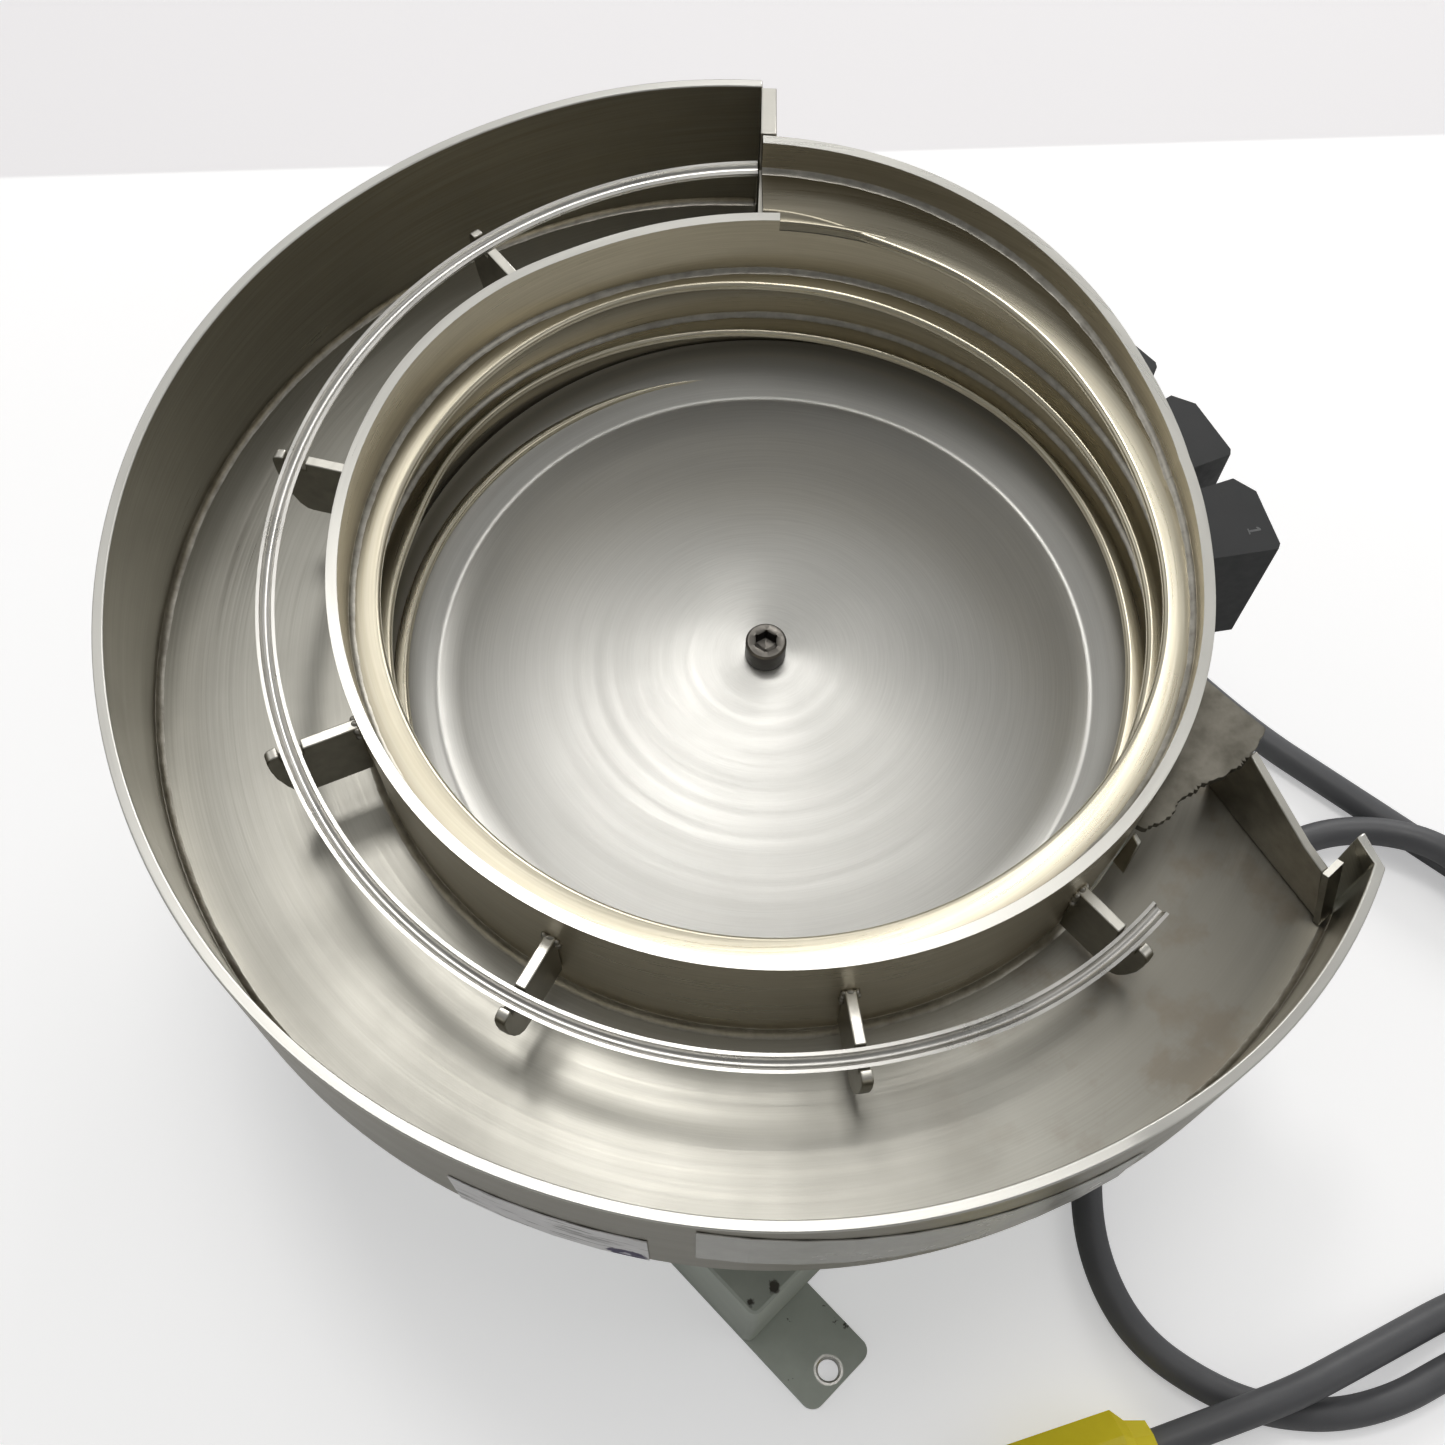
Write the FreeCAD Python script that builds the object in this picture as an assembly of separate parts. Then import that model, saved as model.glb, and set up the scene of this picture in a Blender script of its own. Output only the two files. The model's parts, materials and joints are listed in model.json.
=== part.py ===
"""Vibratory bowl parts feeder: a stainless bowl with an inside spiral ledge and an outside return pan,
on a leaf-spring electromagnetic drive. Millimetres, +Z up. The origin is on the bowl's axis at the
table. Angles are degrees counter-clockwise from +X, and 90 is where the pan and the ledge begin."""
import FreeCAD, Part
import math, os
from FreeCAD import Vector as V

os.makedirs("parts", exist_ok=True)

# ---- sheet metal and fits
SHEET = 3.0            # stainless sheet of the bowl, pan and ledge
GAP = 0.3              # clearance between two pieces
WELD_GAP = 0.6         # between hand-rolled sheets, which aren't quite round
STEP = 5.0             # spacing of the sections round the bowl

# ---- bowl
RIM_Z = 172.5          # rim of the bowl wall
WALL_FOOT_Z = 101.0
WALL_FOOT_R = 115.5    # outside radius at the foot
BOWL_APEX_Z = 112.0    # top of the shallow cone in the middle
CONE_R = 98.0
CONE_DROP = 8.0
COVE_Z = 116.0         # where the floor's turned-up edge ends
RIM_R = {90: 112.9, 105: 112.9, 120: 113.8, 135: 116.5, 150: 117.6, 165: 117.2, 180: 116.7, 195: 116.6,
         210: 116.6, 225: 116.6, 240: 116.2, 255: 115.9, 270: 115.7, 285: 115.8, 300: 116.2, 315: 116.4,
         330: 116.2, 345: 115.5, 360: 114.5, 375: 114.5, 390: 113.9, 405: 113.4, 420: 113.0, 435: 112.9,
         450: 112.9}
LIP_TURN = 375.0       # where the lip leaves the round wall
TRACK_END = 452.6
LIP_R = {375: 114.5, 390: 117.0, 405: 121.7, 420: 126.6, 435: 130.3, 450: 132.3, 465: 133.4}
LIP_RISE_FROM = 330.0
LIP_TOP_Z = 183.0      # rim height where the lip ends

# ---- spiral ledge
PITCH = 21.5
LEDGE_Z0 = 144.6       # ledge height at 0 degrees of its second turn
LEDGE_START = -630.0
LOW_IN = {-630: 103.0, -585: 103.6, -540: 104.2, -495: 103.6, -450: 103.4, -405: 103.4, -360: 103.5,
          -330: 104.4, -315: 104.9, -285: 103.8, -270: 104.0}
MID_IN = {-270: 104.0, -255: 105.0, -240: 106.6, -225: 108.0, -210: 107.8, -195: 105.7, -180: 105.7,
          -135: 104.0, -90: 103.4, -45: 103.6, 0: 104.3, 45: 103.2, 90: 104.5}
TOP_IN = {90: 104.5, 105: 105.8, 120: 106.4, 150: 105.8, 180: 105.5, 210: 103.9, 240: 103.3, 285: 103.3,
          315: 103.3, 345: 104.0, 375: 102.5, 390: 102.9, 405: 104.9, 420: 107.0, 435: 108.7, 450: 113.4,
          465: 113.6}

# ---- return pan
PAN_R = {90: 167.4, 105: 169.8, 120: 170.9, 135: 172.6, 150: 174.9, 165: 176.4, 180: 176.7, 195: 176.5,
         210: 176.2, 225: 176.0, 240: 175.5, 255: 174.7, 270: 174.7, 285: 174.7, 300: 174.7, 315: 175.2,
         330: 175.5, 345: 175.5}
PAN_START = 92.2
PAN_END = 334.4
PAN_FLOOR_Z = 120.4
PAN_FOOT_Z = 114.0
PAN_RIM_Z = 170.0
PAN_SLOPE_FROM = 300.0
PAN_LOW_Z = 150.0      # rim height where the pan wall ends
PLATE_T = 3.0          # start plate and rail tabs
DAM_T = 2.4            # end plates
SHELF_T = 2.5

# ---- guide rail
RAIL_R = {90: 131.2, 105: 132.2, 120: 132.7, 135: 133.2, 180: 134.1, 210: 134.5, 240: 134.0, 270: 132.9,
          285: 132.7, 300: 133.5, 320: 133.6}
RAIL_START = 93.1
RAIL_END = 318.5
RAIL_W = 5.0
RAIL_WALL = 0.9
RAIL_Z_START = 171.0
RAIL_Z_END = 150.0
TAB_AT = (130.0, 168.0, 205.5, 243.5, 280.7, 313.5)
TAB_TALL = 24.0
TAB_OUT = 6.6          # how far a tab reaches past the rail's middle
TAB_ROUND = 2.6

# ---- return opening in the bowl wall
OPEN_FROM = 319.0
OPEN_TO = 343.0
OPEN_TALL = 17.6

# ---- balance weights
WEIGHT_AT = (17.0, 30.0, 44.0)
WEIGHT_SPAN = 10.0
WEIGHT_TOP_Z = 129.0
WEIGHT_LOW_Z = 80.0
WEIGHT_OUT_R = 153.5
SEAT_OUT_R = 120.0     # outside radius of the curved plate they bolt to
WEIGHT_SCREW_R = 3.0

# ---- drive base, turned about the bowl's axis
BASE_TURN = -43.8
BASE_X0 = -79.0
BASE_X1 = 126.8
BASE_Y0 = -128.5
BASE_Y1 = 79.0
BASE_TOP_Z = 69.0
BASE_EDGE_R = 2.5
WELL_R = 68.0
WELL_FLOOR_Z = 10.0
BAR_T = 3.0
BAR_W = 26.0
BAR_OVER = 27.8        # how far a bar sticks out past the base
BAR_HOLE_IN = 5.6      # hole centre from the bar's end
BAR_HOLE_SIDE = 13.6
BAR_HOLE_R = 3.2
BAR_CORNER_R = 4.0

# ---- springs and magnet
SPRING_R = 52.0        # middle of the springs from the axis
SPRING_W = 20.0
SPRING_TILT = 20.0
SPRING_MID_Z = 42.0
SPRING_HALF = 31.0
LEAF_T = 1.0
SCREW_R = 2.5
FRAME_Z = 74.0         # underside of the top frame
FRAME_T = 14.0
FRAME_R = 62.0
BOSS_R = 30.0
HUB_R = 40.0
CORE_X = 48.0
CORE_Y = 30.0
CORE_TOP_Z = 55.0
AIR_GAP = 1.2
ARMATURE_T = 10.0

# ---- centre screw
SCREW_HEAD_R = 5.95
SCREW_HEAD_H = 8.0
SCREW_SHANK_R = 3.95
SCREW_END_Z = 84.0

# ---- cord and plug
CORD_D = 9.8
GLAND_X = 12.0
GLAND_Z = 14.0
GLAND_L = 18.0
CORD_ROUTE = ((76.0, 61.2, 14.0), (84.0, 69.5, 14.0), (96.2, 78.5, 12.0), (111.8, 82.0, 9.0), (127.0, 79.2, 6.0),
              (142.0, 68.5, 5.0), (161.0, 48.0, 5.0), (181.0, 29.0, 5.0), (200.0, 15.0, 5.0),
              (219.0, 1.0, 5.0), (240.0, -14.5, 5.0), (262.0, -30.5, 5.0), (290.0, -48.0, 5.0),
              (320.0, -62.0, 5.0), (350.0, -71.0, 5.0), (378.0, -76.0, 5.0), (405.0, -79.0, 5.0),
              (428.0, -85.2, 5.0), (444.8, -102.0, 5.0), (451.0, -125.0, 5.0), (444.8, -148.0, 5.0),
              (428.0, -164.8, 5.0), (405.0, -171.0, 5.0), (380.0, -172.5, 5.0), (350.0, -173.0, 5.0),
              (320.0, -171.0, 5.0), (285.0, -168.0, 5.0), (255.0, -168.0, 5.0), (232.0, -173.0, 5.0),
              (214.0, -182.0, 5.0), (199.0, -190.0, 5.0), (181.0, -195.0, 5.0), (164.0, -195.0, 5.0),
              (150.0, -192.0, 5.0), (137.0, -186.0, 5.0), (125.0, -178.0, 5.0), (116.0, -167.0, 5.0),
              (110.0, -152.0, 5.0), (108.0, -136.0, 5.0), (109.5, -118.0, 5.0), (114.0, -99.5, 5.2),
              (121.2, -80.2, 6.8), (130.7, -61.6, 8.5), (143.8, -46.0, 8.7), (159.1, -32.0, 8.4),
              (175.0, -18.5, 7.2), (192.0, -8.0, 6.6), (211.0, -5.5, 9.5), (229.0, -11.0, 15.0),
              (241.0, -19.0, 15.3), (254.0, -31.5, 14.2), (266.0, -47.0, 8.0), (280.0, -61.0, 5.0),
              (302.0, -75.0, 5.0), (332.0, -84.5, 5.0), (362.0, -88.0, 5.0), (382.6, -94.7, 5.0),
              (395.3, -112.2, 5.0), (395.3, -133.8, 5.0), (382.6, -151.3, 5.0), (362.0, -158.0, 5.0),
              (335.0, -157.5, 5.0), (305.0, -154.0, 5.0), (275.0, -151.0, 5.0), (245.0, -153.0, 5.0),
              (219.0, -163.0, 5.5), (201.0, -172.0, 9.5), (183.0, -181.0, 13.5), (166.0, -189.5, 15.3),
              (149.0, -196.0, 15.3), (134.0, -201.5, 13.8), (122.0, -206.0, 13.0))
PLUG_W = 27.0
PLUG_TALL = 24.0
PLUG_L = 44.0


# ---------------------------------------------------------------- helpers
def along(table, deg):
    """A size read from a table of stations, with a smooth curve through them."""
    keys = sorted(table)
    if deg <= keys[0]:
        return table[keys[0]]
    if deg >= keys[-1]:
        return table[keys[-1]]
    k = max(i for i in range(len(keys) - 1) if keys[i] <= deg)
    a, b = keys[k], keys[k + 1]
    before = keys[max(k - 1, 0)]
    after = keys[min(k + 2, len(keys) - 1)]
    lean_a = (table[b] - table[before]) / (b - before) * (b - a)
    lean_b = (table[after] - table[a]) / (after - a) * (b - a)
    t = (deg - a) / (b - a)
    return ((2 * t ** 3 - 3 * t ** 2 + 1) * table[a] + (t ** 3 - 2 * t ** 2 + t) * lean_a
            + (3 * t ** 2 - 2 * t ** 3) * table[b] + (t ** 3 - t ** 2) * lean_b)


def line_along(table, at):
    """The same with straight lines between the stations."""
    keys = sorted(table)
    if at <= keys[0]:
        return table[keys[0]]
    for a, b in zip(keys, keys[1:]):
        if at <= b:
            return table[a] + (table[b] - table[a]) * (at - a) / (b - a)
    return table[keys[-1]]


def polar(radius, deg, z):
    a = math.radians(deg)
    return V(radius * math.cos(a), radius * math.sin(a), z)


def stations(start, end):
    """Angles from start to end, on every whole step between them."""
    out = [start]
    k = math.floor(start / STEP) + 1
    while k * STEP < end - 1.0:
        if k * STEP > start + 1.0:
            out.append(k * STEP)
        k += 1
    return out + [end]


def skin(sections):
    """A solid through a row of sections that have the same number of corners."""
    rings = [Part.makePolygon(list(row) + [row[0]]) for row in sections]
    return Part.makeLoft(rings, True, True)


def strip(start, end, section):
    """A solid swept round the axis; section(deg) gives corners as (radius, z)."""
    rows = []
    for deg in stations(start, end):
        rows.append([polar(r, deg, z) for r, z in section(deg)])
    return skin(rows)


def plate(points, thick, up=None):
    """A flat plate on a closed outline of points, made thick along up."""
    face = Part.Face(Part.makePolygon(list(points) + [points[0]]))
    return face.extrude((up or V(0, 0, 1)) * thick)


def box(x0, x1, y0, y1, z0, z1):
    return Part.makeBox(x1 - x0, y1 - y0, z1 - z0, V(x0, y0, z0))


def rod(radius, a, b):
    return Part.makeCylinder(radius, (b - a).Length, a, b - a)


def cap_screw(head_r, head_h, shank_r, seat, tip):
    """Socket-head cap screw: seat is the point under the head, tip the far end of its shank."""
    out = (seat - tip)
    out.normalize()
    body = rod(head_r, seat, seat + out * head_h).fuse(rod(shank_r, tip, seat + out * 0.5))
    side = V(0, 0, 1).cross(out)
    if side.Length < 0.1:
        side = V(1, 0, 0)
    side.normalize()
    other = out.cross(side)
    ring = []
    for k in range(6):
        a = math.radians(60 * k)
        spot = side * math.cos(a) + other * math.sin(a)
        ring.append(seat + out * (head_h * 0.45) + spot * (head_r * 0.52))
    return body.cut(plate(ring, head_h, out)).removeSplitter()


def turned(shape, deg=BASE_TURN):
    s = shape.copy()
    s.rotate(V(0, 0, 0), V(0, 0, 1), deg)
    return s


def save(name, shapes):
    if not isinstance(shapes, (list, tuple)):
        shapes = [shapes]
    solids = [s for shape in shapes for s in shape.Solids]
    whole = solids[0] if len(solids) == 1 else Part.makeCompound(solids)
    for s in solids:
        if not s.isValid():
            print("not valid:", name)
    whole.exportStep("parts/" + name + ".step")
    print(name, len(solids), round(sum(s.Volume for s in solids) / 1000.0, 2), "cm3")


# ---------------------------------------------------------------- shared heights and radii
def ledge_z(deg):
    return LEDGE_Z0 + PITCH * deg / 360.0


def rim_z(deg):
    """Height of the bowl's rim: level, then rising along the lip."""
    rise = (deg - LIP_RISE_FROM) / (455.0 - LIP_RISE_FROM)
    return RIM_Z + (LIP_TOP_Z - RIM_Z) * max(0.0, rise)


def wall_r(deg, z):
    """Outside radius of the bowl wall, from its round foot to its rim."""
    d = deg
    while d < 90.0:
        d += 360.0
    while d > 450.0:
        d -= 360.0
    up = min(1.0, max(0.0, (z - WALL_FOOT_Z) / (RIM_Z - WALL_FOOT_Z)))
    return WALL_FOOT_R + (along(RIM_R, d) - WALL_FOOT_R) * up


def pan_top_z(deg):
    low = (deg - PAN_SLOPE_FROM) / (PAN_END - PAN_SLOPE_FROM)
    return PAN_RIM_Z + (PAN_LOW_Z - PAN_RIM_Z) * min(1.0, max(0.0, low))


def rail_z(deg):
    return RAIL_Z_START + (RAIL_Z_END - RAIL_Z_START) * (deg - 95.0) / (RAIL_END - 95.0)


# ---------------------------------------------------------------- bowl floor
slope = CONE_DROP / CONE_R


half = [V(0, 0, BOWL_APEX_Z), V(8, 0, BOWL_APEX_Z), V(CONE_R, 0, BOWL_APEX_Z - CONE_DROP),
        V(CONE_R + 4.0, 0, BOWL_APEX_Z - CONE_DROP + 0.7), V(CONE_R + 8.0, 0, BOWL_APEX_Z - CONE_DROP + 3.0)]
edge_r = min(wall_r(d, COVE_Z) for d in range(90, 450, 5)) - SHEET - WELD_GAP
half += [V(edge_r - SHEET, 0, COVE_Z - 4.0), V(edge_r - 0.8, 0, COVE_Z), V(edge_r, 0, COVE_Z),
         V(edge_r, 0, BOWL_APEX_Z - CONE_DROP + 1.0), V(CONE_R + 10.0, 0, WALL_FOOT_Z + 0.2),
         V(CONE_R, 0, BOWL_APEX_Z - CONE_DROP - SHEET), V(8, 0, BOWL_APEX_Z - SHEET), V(0, 0, BOWL_APEX_Z - SHEET)]
bowl_floor = Part.Face(Part.makePolygon(half + [half[0]])).revolve(V(0, 0, 0), V(0, 0, 1), 360)
bowl_floor = bowl_floor.cut(rod(SCREW_SHANK_R + GAP, V(0, 0, 90), V(0, 0, 120)))
save("bowl_floor", bowl_floor)

# ---------------------------------------------------------------- bowl wall, lip and ledge
SEAM = 0.08            # half the butt seam at 90 degrees, in degrees


def wall_section(top):
    def at(deg):
        z1 = top(deg)
        r0 = wall_r(deg, WALL_FOOT_Z)
        r1 = wall_r(deg, z1)
        return [(r0 - SHEET, WALL_FOOT_Z), (r0, WALL_FOOT_Z), (r1, z1), (r1 - SHEET, z1)]
    return at


def under_ledge(deg):
    return ledge_z(deg) - SHEET - GAP


wall_high = strip(90.0 + SEAM, LIP_TURN, wall_section(rim_z))
wall_low = strip(LIP_TURN, 450.0 - SEAM, wall_section(under_ledge))
wall = wall_high.fuse(wall_low)
ring = []
for k in range(9):
    ring.append(polar(100.0, OPEN_FROM + (OPEN_TO - OPEN_FROM) * k / 8.0, PAN_FLOOR_Z + GAP))
for k in range(9):
    ring.append(polar(125.0, OPEN_TO - (OPEN_TO - OPEN_FROM) * k / 8.0, PAN_FLOOR_Z + GAP))
wall = wall.cut(plate(ring, OPEN_TALL))
save("bowl_wall", wall)


def lip_section(deg):
    z0 = ledge_z(deg) - SHEET
    r = along(LIP_R, deg)
    return [(r - SHEET, z0), (r, z0), (r, rim_z(deg)), (r - SHEET, rim_z(deg))]


COVE = {BOWL_APEX_Z - CONE_DROP + 0.7: CONE_R + 4.0, BOWL_APEX_Z - CONE_DROP + 3.0: CONE_R + 8.0,
        COVE_Z - 4.0: edge_r - SHEET, COVE_Z: edge_r - 0.8, COVE_Z + 0.5: 200.0}
COVE_RISE = {v: k for k, v in COVE.items()}
save("lip_wall", strip(LIP_TURN + 0.15, TRACK_END, lip_section))


def ledge_section(inner):
    """A flat strip against the wall; where it leaves the floor it is cut to the floor's curve."""
    def at(deg):
        z = ledge_z(deg)
        r_in = along(inner, deg)
        low = max(z - SHEET, line_along(COVE_RISE, r_in) + WELD_GAP)
        if deg > LIP_TURN:
            r_top = along(LIP_R, deg) - SHEET - WELD_GAP
            r_low = r_top
        else:
            r_top = min(wall_r(deg, z) - SHEET, line_along(COVE, z)) - WELD_GAP
            r_low = min(wall_r(deg, low) - SHEET, line_along(COVE, low)) - WELD_GAP
            if low < COVE_Z:
                r_top = min(r_top, line_along(COVE, min(z, COVE_Z)) - WELD_GAP)
        return [(r_in, low), (min(r_top, r_low), low), (r_top, z), (r_in, z)]
    return at


save("ledge_turn_1", strip(LEDGE_START, -270.0 - 0.15, ledge_section(LOW_IN)))
save("ledge_turn_2", strip(-270.0, 90.0 - 0.15, ledge_section(MID_IN)))
save("ledge_turn_3", strip(90.0, TRACK_END, ledge_section(TOP_IN)))

# ---------------------------------------------------------------- return pan
def pan_r(deg):
    return along(PAN_R, deg)


END_N = V(0.8331, 0.5531, 0)       # outward normal of the long end plate
END_T = V(0.5531, -0.8331, 0)      # along it, away from the bowl
END_D = 80.5                       # its distance from the axis
z_plate = PAN_FLOOR_Z + GAP
FLANGE_TIP = V(151.9, -67.6, 0)    # end of the pan wall's bent-in edge


def end_point(s, z, off=0.0):
    return END_N * (END_D + off) + END_T * s + V(0, 0, z)


def bent(points):
    c = Part.BSplineCurve()
    c.interpolate(points)
    return c.toShape()


outer = [polar(pan_r(d) - SHEET - GAP, d, PAN_FLOOR_Z) for d in stations(PAN_START, PAN_END - 0.4)]
inner = [polar(wall_r(d, PAN_FLOOR_Z) + GAP, d, PAN_FLOOR_Z) for d in stations(PAN_START, 341.0)]
corner = end_point(148.0, PAN_FLOOR_Z, DAM_T)
corner_in = end_point(101.5, PAN_FLOOR_Z, DAM_T)
edges = [bent(outer), Part.makeLine(outer[-1], corner), Part.makeLine(corner, corner_in),
         Part.makeLine(corner_in, inner[-1]), bent(inner), Part.makeLine(inner[0], outer[0])]
pan_floor = Part.Face(Part.Wire(Part.__sortEdges__(edges))).extrude(V(0, 0, -SHEET))
save("pan_floor", pan_floor)


def pan_section(deg):
    r = pan_r(deg)
    top = pan_top_z(deg)
    return [(r - SHEET, PAN_FOOT_Z), (r, PAN_FOOT_Z), (r, top), (r - SHEET, top)]


pan_wall = strip(PAN_START, PAN_END, pan_section)
tip_out = polar(pan_r(PAN_END), PAN_END, PAN_FOOT_Z)
tip_in = polar(pan_r(PAN_END) - SHEET, PAN_END, PAN_FOOT_Z)
fold = V(FLANGE_TIP.x, FLANGE_TIP.y, PAN_FOOT_Z)
flange_out = fold + V(2.2, 1.6, 0)
flange = plate([tip_in, tip_out, flange_out, fold], PAN_LOW_Z - PAN_FOOT_Z)
save("pan_wall", pan_wall.fuse(flange))

# start plate: closes the pan under and outside the end of the ledge
x1 = -1.7
x0 = x1 - PLATE_T - 0.3
y_in = wall_r(91.5, z_plate) + GAP
y_lip = along(LIP_R, 452.0) + GAP
y_out = pan_r(91.0) - SHEET - GAP
under = ledge_z(452.0) - SHEET - GAP
side = [V(x0, y_in, z_plate), V(x0, y_out, z_plate), V(x0, y_out, PAN_RIM_Z), V(x0, y_lip + 0.2, LIP_TOP_Z),
        V(x0, y_lip, under), V(x0, y_in, under)]
save("pan_start_plate", plate(side, PLATE_T, V(1, 0, 0)))

# end plates: a dam across the end of the pan, and a short slanted piece to the wall
long_low = [end_point(102.3, z_plate), end_point(149.0, z_plate), end_point(141.8, 140.0),
            end_point(134.0, 141.0), end_point(107.9, PAN_LOW_Z)]
long_plate = plate(long_low, DAM_T, END_N)
a = V(148.6, -80.2, z_plate)
b = V(tip_in.x - 2.97, tip_in.y - 1.87, z_plate)
c = V(150.0, -69.6, 140.0)
d = V(145.6, -73.9, 140.0)
short = []
for p in (a, b, c, d):
    short.append(p)
out_dir = V(0.62, -0.42, -0.2)
mid = (a + b + c + d) * 0.25
face_a = Part.Face(Part.makePolygon([a, b, c, a]))
face_n = (b - a).cross(d - a)
face_n.normalize()
flat_c = c - face_n * face_n.dot(c - a)
short_plate = plate([a, b, flat_c, d], DAM_T * 0.8, face_n)
short_plate = short_plate.cut(plate([p + END_N * -30 for p in long_low], DAM_T + 30.0 + GAP, END_N))
short_plate = max(short_plate.Solids, key=lambda s: s.Volume)
save("end_plate_long", long_plate)
save("end_plate_short", short_plate)

# gusset shelf between the bowl wall and the dam, with a torn, flame-cut edge
shelf_z = PAN_LOW_Z + GAP
edge = [(130.6, -38.5), (126.4, -43.0), (120.9, -46.1), (118.6, -49.6), (116.9, -52.3), (111.5, -54.4),
        (107.4, -57.5), (101.8, -63.4), (96.5, -68.4)]
arc = [polar(wall_r(d2, shelf_z) + GAP, d2, shelf_z) for d2 in (324.5, 329, 334, 339, 344, 349)]
shelf = plate(arc + [V(x, y, shelf_z) for x, y in edge], SHELF_T)
save("gusset_shelf", shelf)

# ---------------------------------------------------------------- guide rail and its tabs
def rail_section(deg):
    r = along(RAIL_R, deg)
    z = rail_z(deg)
    pts = []
    for k in range(7):
        a2 = math.radians(180 + 30 * k)
        pts.append((r + RAIL_W / 2 * math.cos(a2), z + RAIL_W / 2 * math.sin(a2)))
    inner_r = RAIL_W / 2 - RAIL_WALL
    for k in range(7):
        a2 = math.radians(360 - 30 * k)
        pts.append((r + inner_r * math.cos(a2), z + inner_r * math.sin(a2)))
    return pts


save("guide_rail", strip(RAIL_START, RAIL_END, rail_section))
tabs = []
for deg in TAB_AT:
    z = rail_z(deg)
    r = along(RAIL_R, deg)
    slot = RAIL_W / 2 + 2 * GAP
    foot = wall_r(deg, z - TAB_TALL / 2) + GAP + 0.25
    far = r + TAB_OUT
    pts = [(foot, z), (r - slot, z), (r - slot, z - slot), (r + slot, z - slot), (r + slot, z + 0.6)]
    for k in range(4):
        a2 = math.radians(90 - 30 * k)
        pts.append((far - TAB_ROUND + TAB_ROUND * math.cos(a2), z + 0.6 - TAB_ROUND + TAB_ROUND * math.sin(a2)))
    pts += [(far, z - 6.0), (far - 1.2, z - TAB_TALL + 10.0), (far - 4.6, z - TAB_TALL), (foot, z - TAB_TALL)]
    along_tab = V(-math.sin(math.radians(deg)), math.cos(math.radians(deg)), 0)
    row = [polar(pr, deg, pz) - along_tab * (PLATE_T / 2) for pr, pz in pts]
    tabs.append(plate(row, PLATE_T, along_tab))
save("rail_tabs", tabs)

# ---------------------------------------------------------------- balance weights
seat_from = WEIGHT_AT[0] - WEIGHT_SPAN / 2 - 4.0
seat_to = WEIGHT_AT[-1] + WEIGHT_SPAN / 2 + 3.0


def seat_section(deg):
    z0 = WEIGHT_LOW_Z + 22.0
    z1 = WEIGHT_TOP_Z - 3.0
    return [(wall_r(deg, z0) + GAP, z0), (SEAT_OUT_R, WEIGHT_LOW_Z + 4.0), (SEAT_OUT_R, z1), (wall_r(deg, z1) + GAP, z1)]


seat = strip(seat_from, seat_to, seat_section)
screws = []
names = ("balance_weight_1", "balance_weight_2", "balance_weight_3")
for name, mid_deg in zip(names, WEIGHT_AT):
    lo = mid_deg - WEIGHT_SPAN / 2
    hi = mid_deg + WEIGHT_SPAN / 2
    r0 = SEAT_OUT_R + GAP
    pts = [polar(r0, lo, WEIGHT_LOW_Z), polar(WEIGHT_OUT_R - 1.0, lo, WEIGHT_LOW_Z),
           polar(WEIGHT_OUT_R, lo + 0.6, WEIGHT_LOW_Z), polar(WEIGHT_OUT_R, hi - 2.4, WEIGHT_LOW_Z),
           polar(WEIGHT_OUT_R - 4.5, hi, WEIGHT_LOW_Z), polar(r0 + 1.0, hi, WEIGHT_LOW_Z)]
    block = plate(pts, WEIGHT_TOP_Z - WEIGHT_LOW_Z)
    block = block.cut(rod(r0, V(0, 0, WEIGHT_LOW_Z - 1), V(0, 0, WEIGHT_TOP_Z + 1)))
    for z in (WEIGHT_LOW_Z + 26.0, WEIGHT_TOP_Z - 9.0):
        hole = rod(WEIGHT_SCREW_R + GAP, polar(wall_r(mid_deg, z) + GAP, mid_deg, z), polar(160, mid_deg, z))
        block = block.cut(hole)
        block = block.cut(rod(5.4, polar(WEIGHT_OUT_R - 8.0, mid_deg, z), polar(160, mid_deg, z)))
        seat = seat.cut(hole)
        screws.append(cap_screw(5.0, 6.0, WEIGHT_SCREW_R, polar(WEIGHT_OUT_R - 8.0 + 0.05, mid_deg, z),
                                polar(wall_r(mid_deg, z) + 2 * GAP, mid_deg, z)))
    save(name, block)
save("weight_seat", seat)
save("weight_screws", screws)

# ---------------------------------------------------------------- label and tape on the pan's outside
def patch(start, end, low, high, off):
    def at(deg):
        r = pan_r(deg) + off
        return [(r, low(deg)), (r + 0.25, low(deg)), (r + 0.25, high(deg)), (r, high(deg))]
    rows = []
    count = max(3, int((end - start) / 4))
    for k in range(count + 1):
        deg = start + (end - start) * k / count
        rows.append([polar(r, deg, z) for r, z in at(deg)])
    return skin(rows)


save("blank_label", patch(245.3, 261.7, lambda d2: PAN_FOOT_Z + 1.0, lambda d2: PAN_FOOT_Z + 28.5, 0.2))
save("clear_tape", patch(265.5, 302.0, lambda d2: PAN_RIM_Z - 39.0 - 0.44 * (d2 - 265.5),
                         lambda d2: PAN_RIM_Z - 4.0 - 0.60 * (d2 - 265.5), 0.2))

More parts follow.
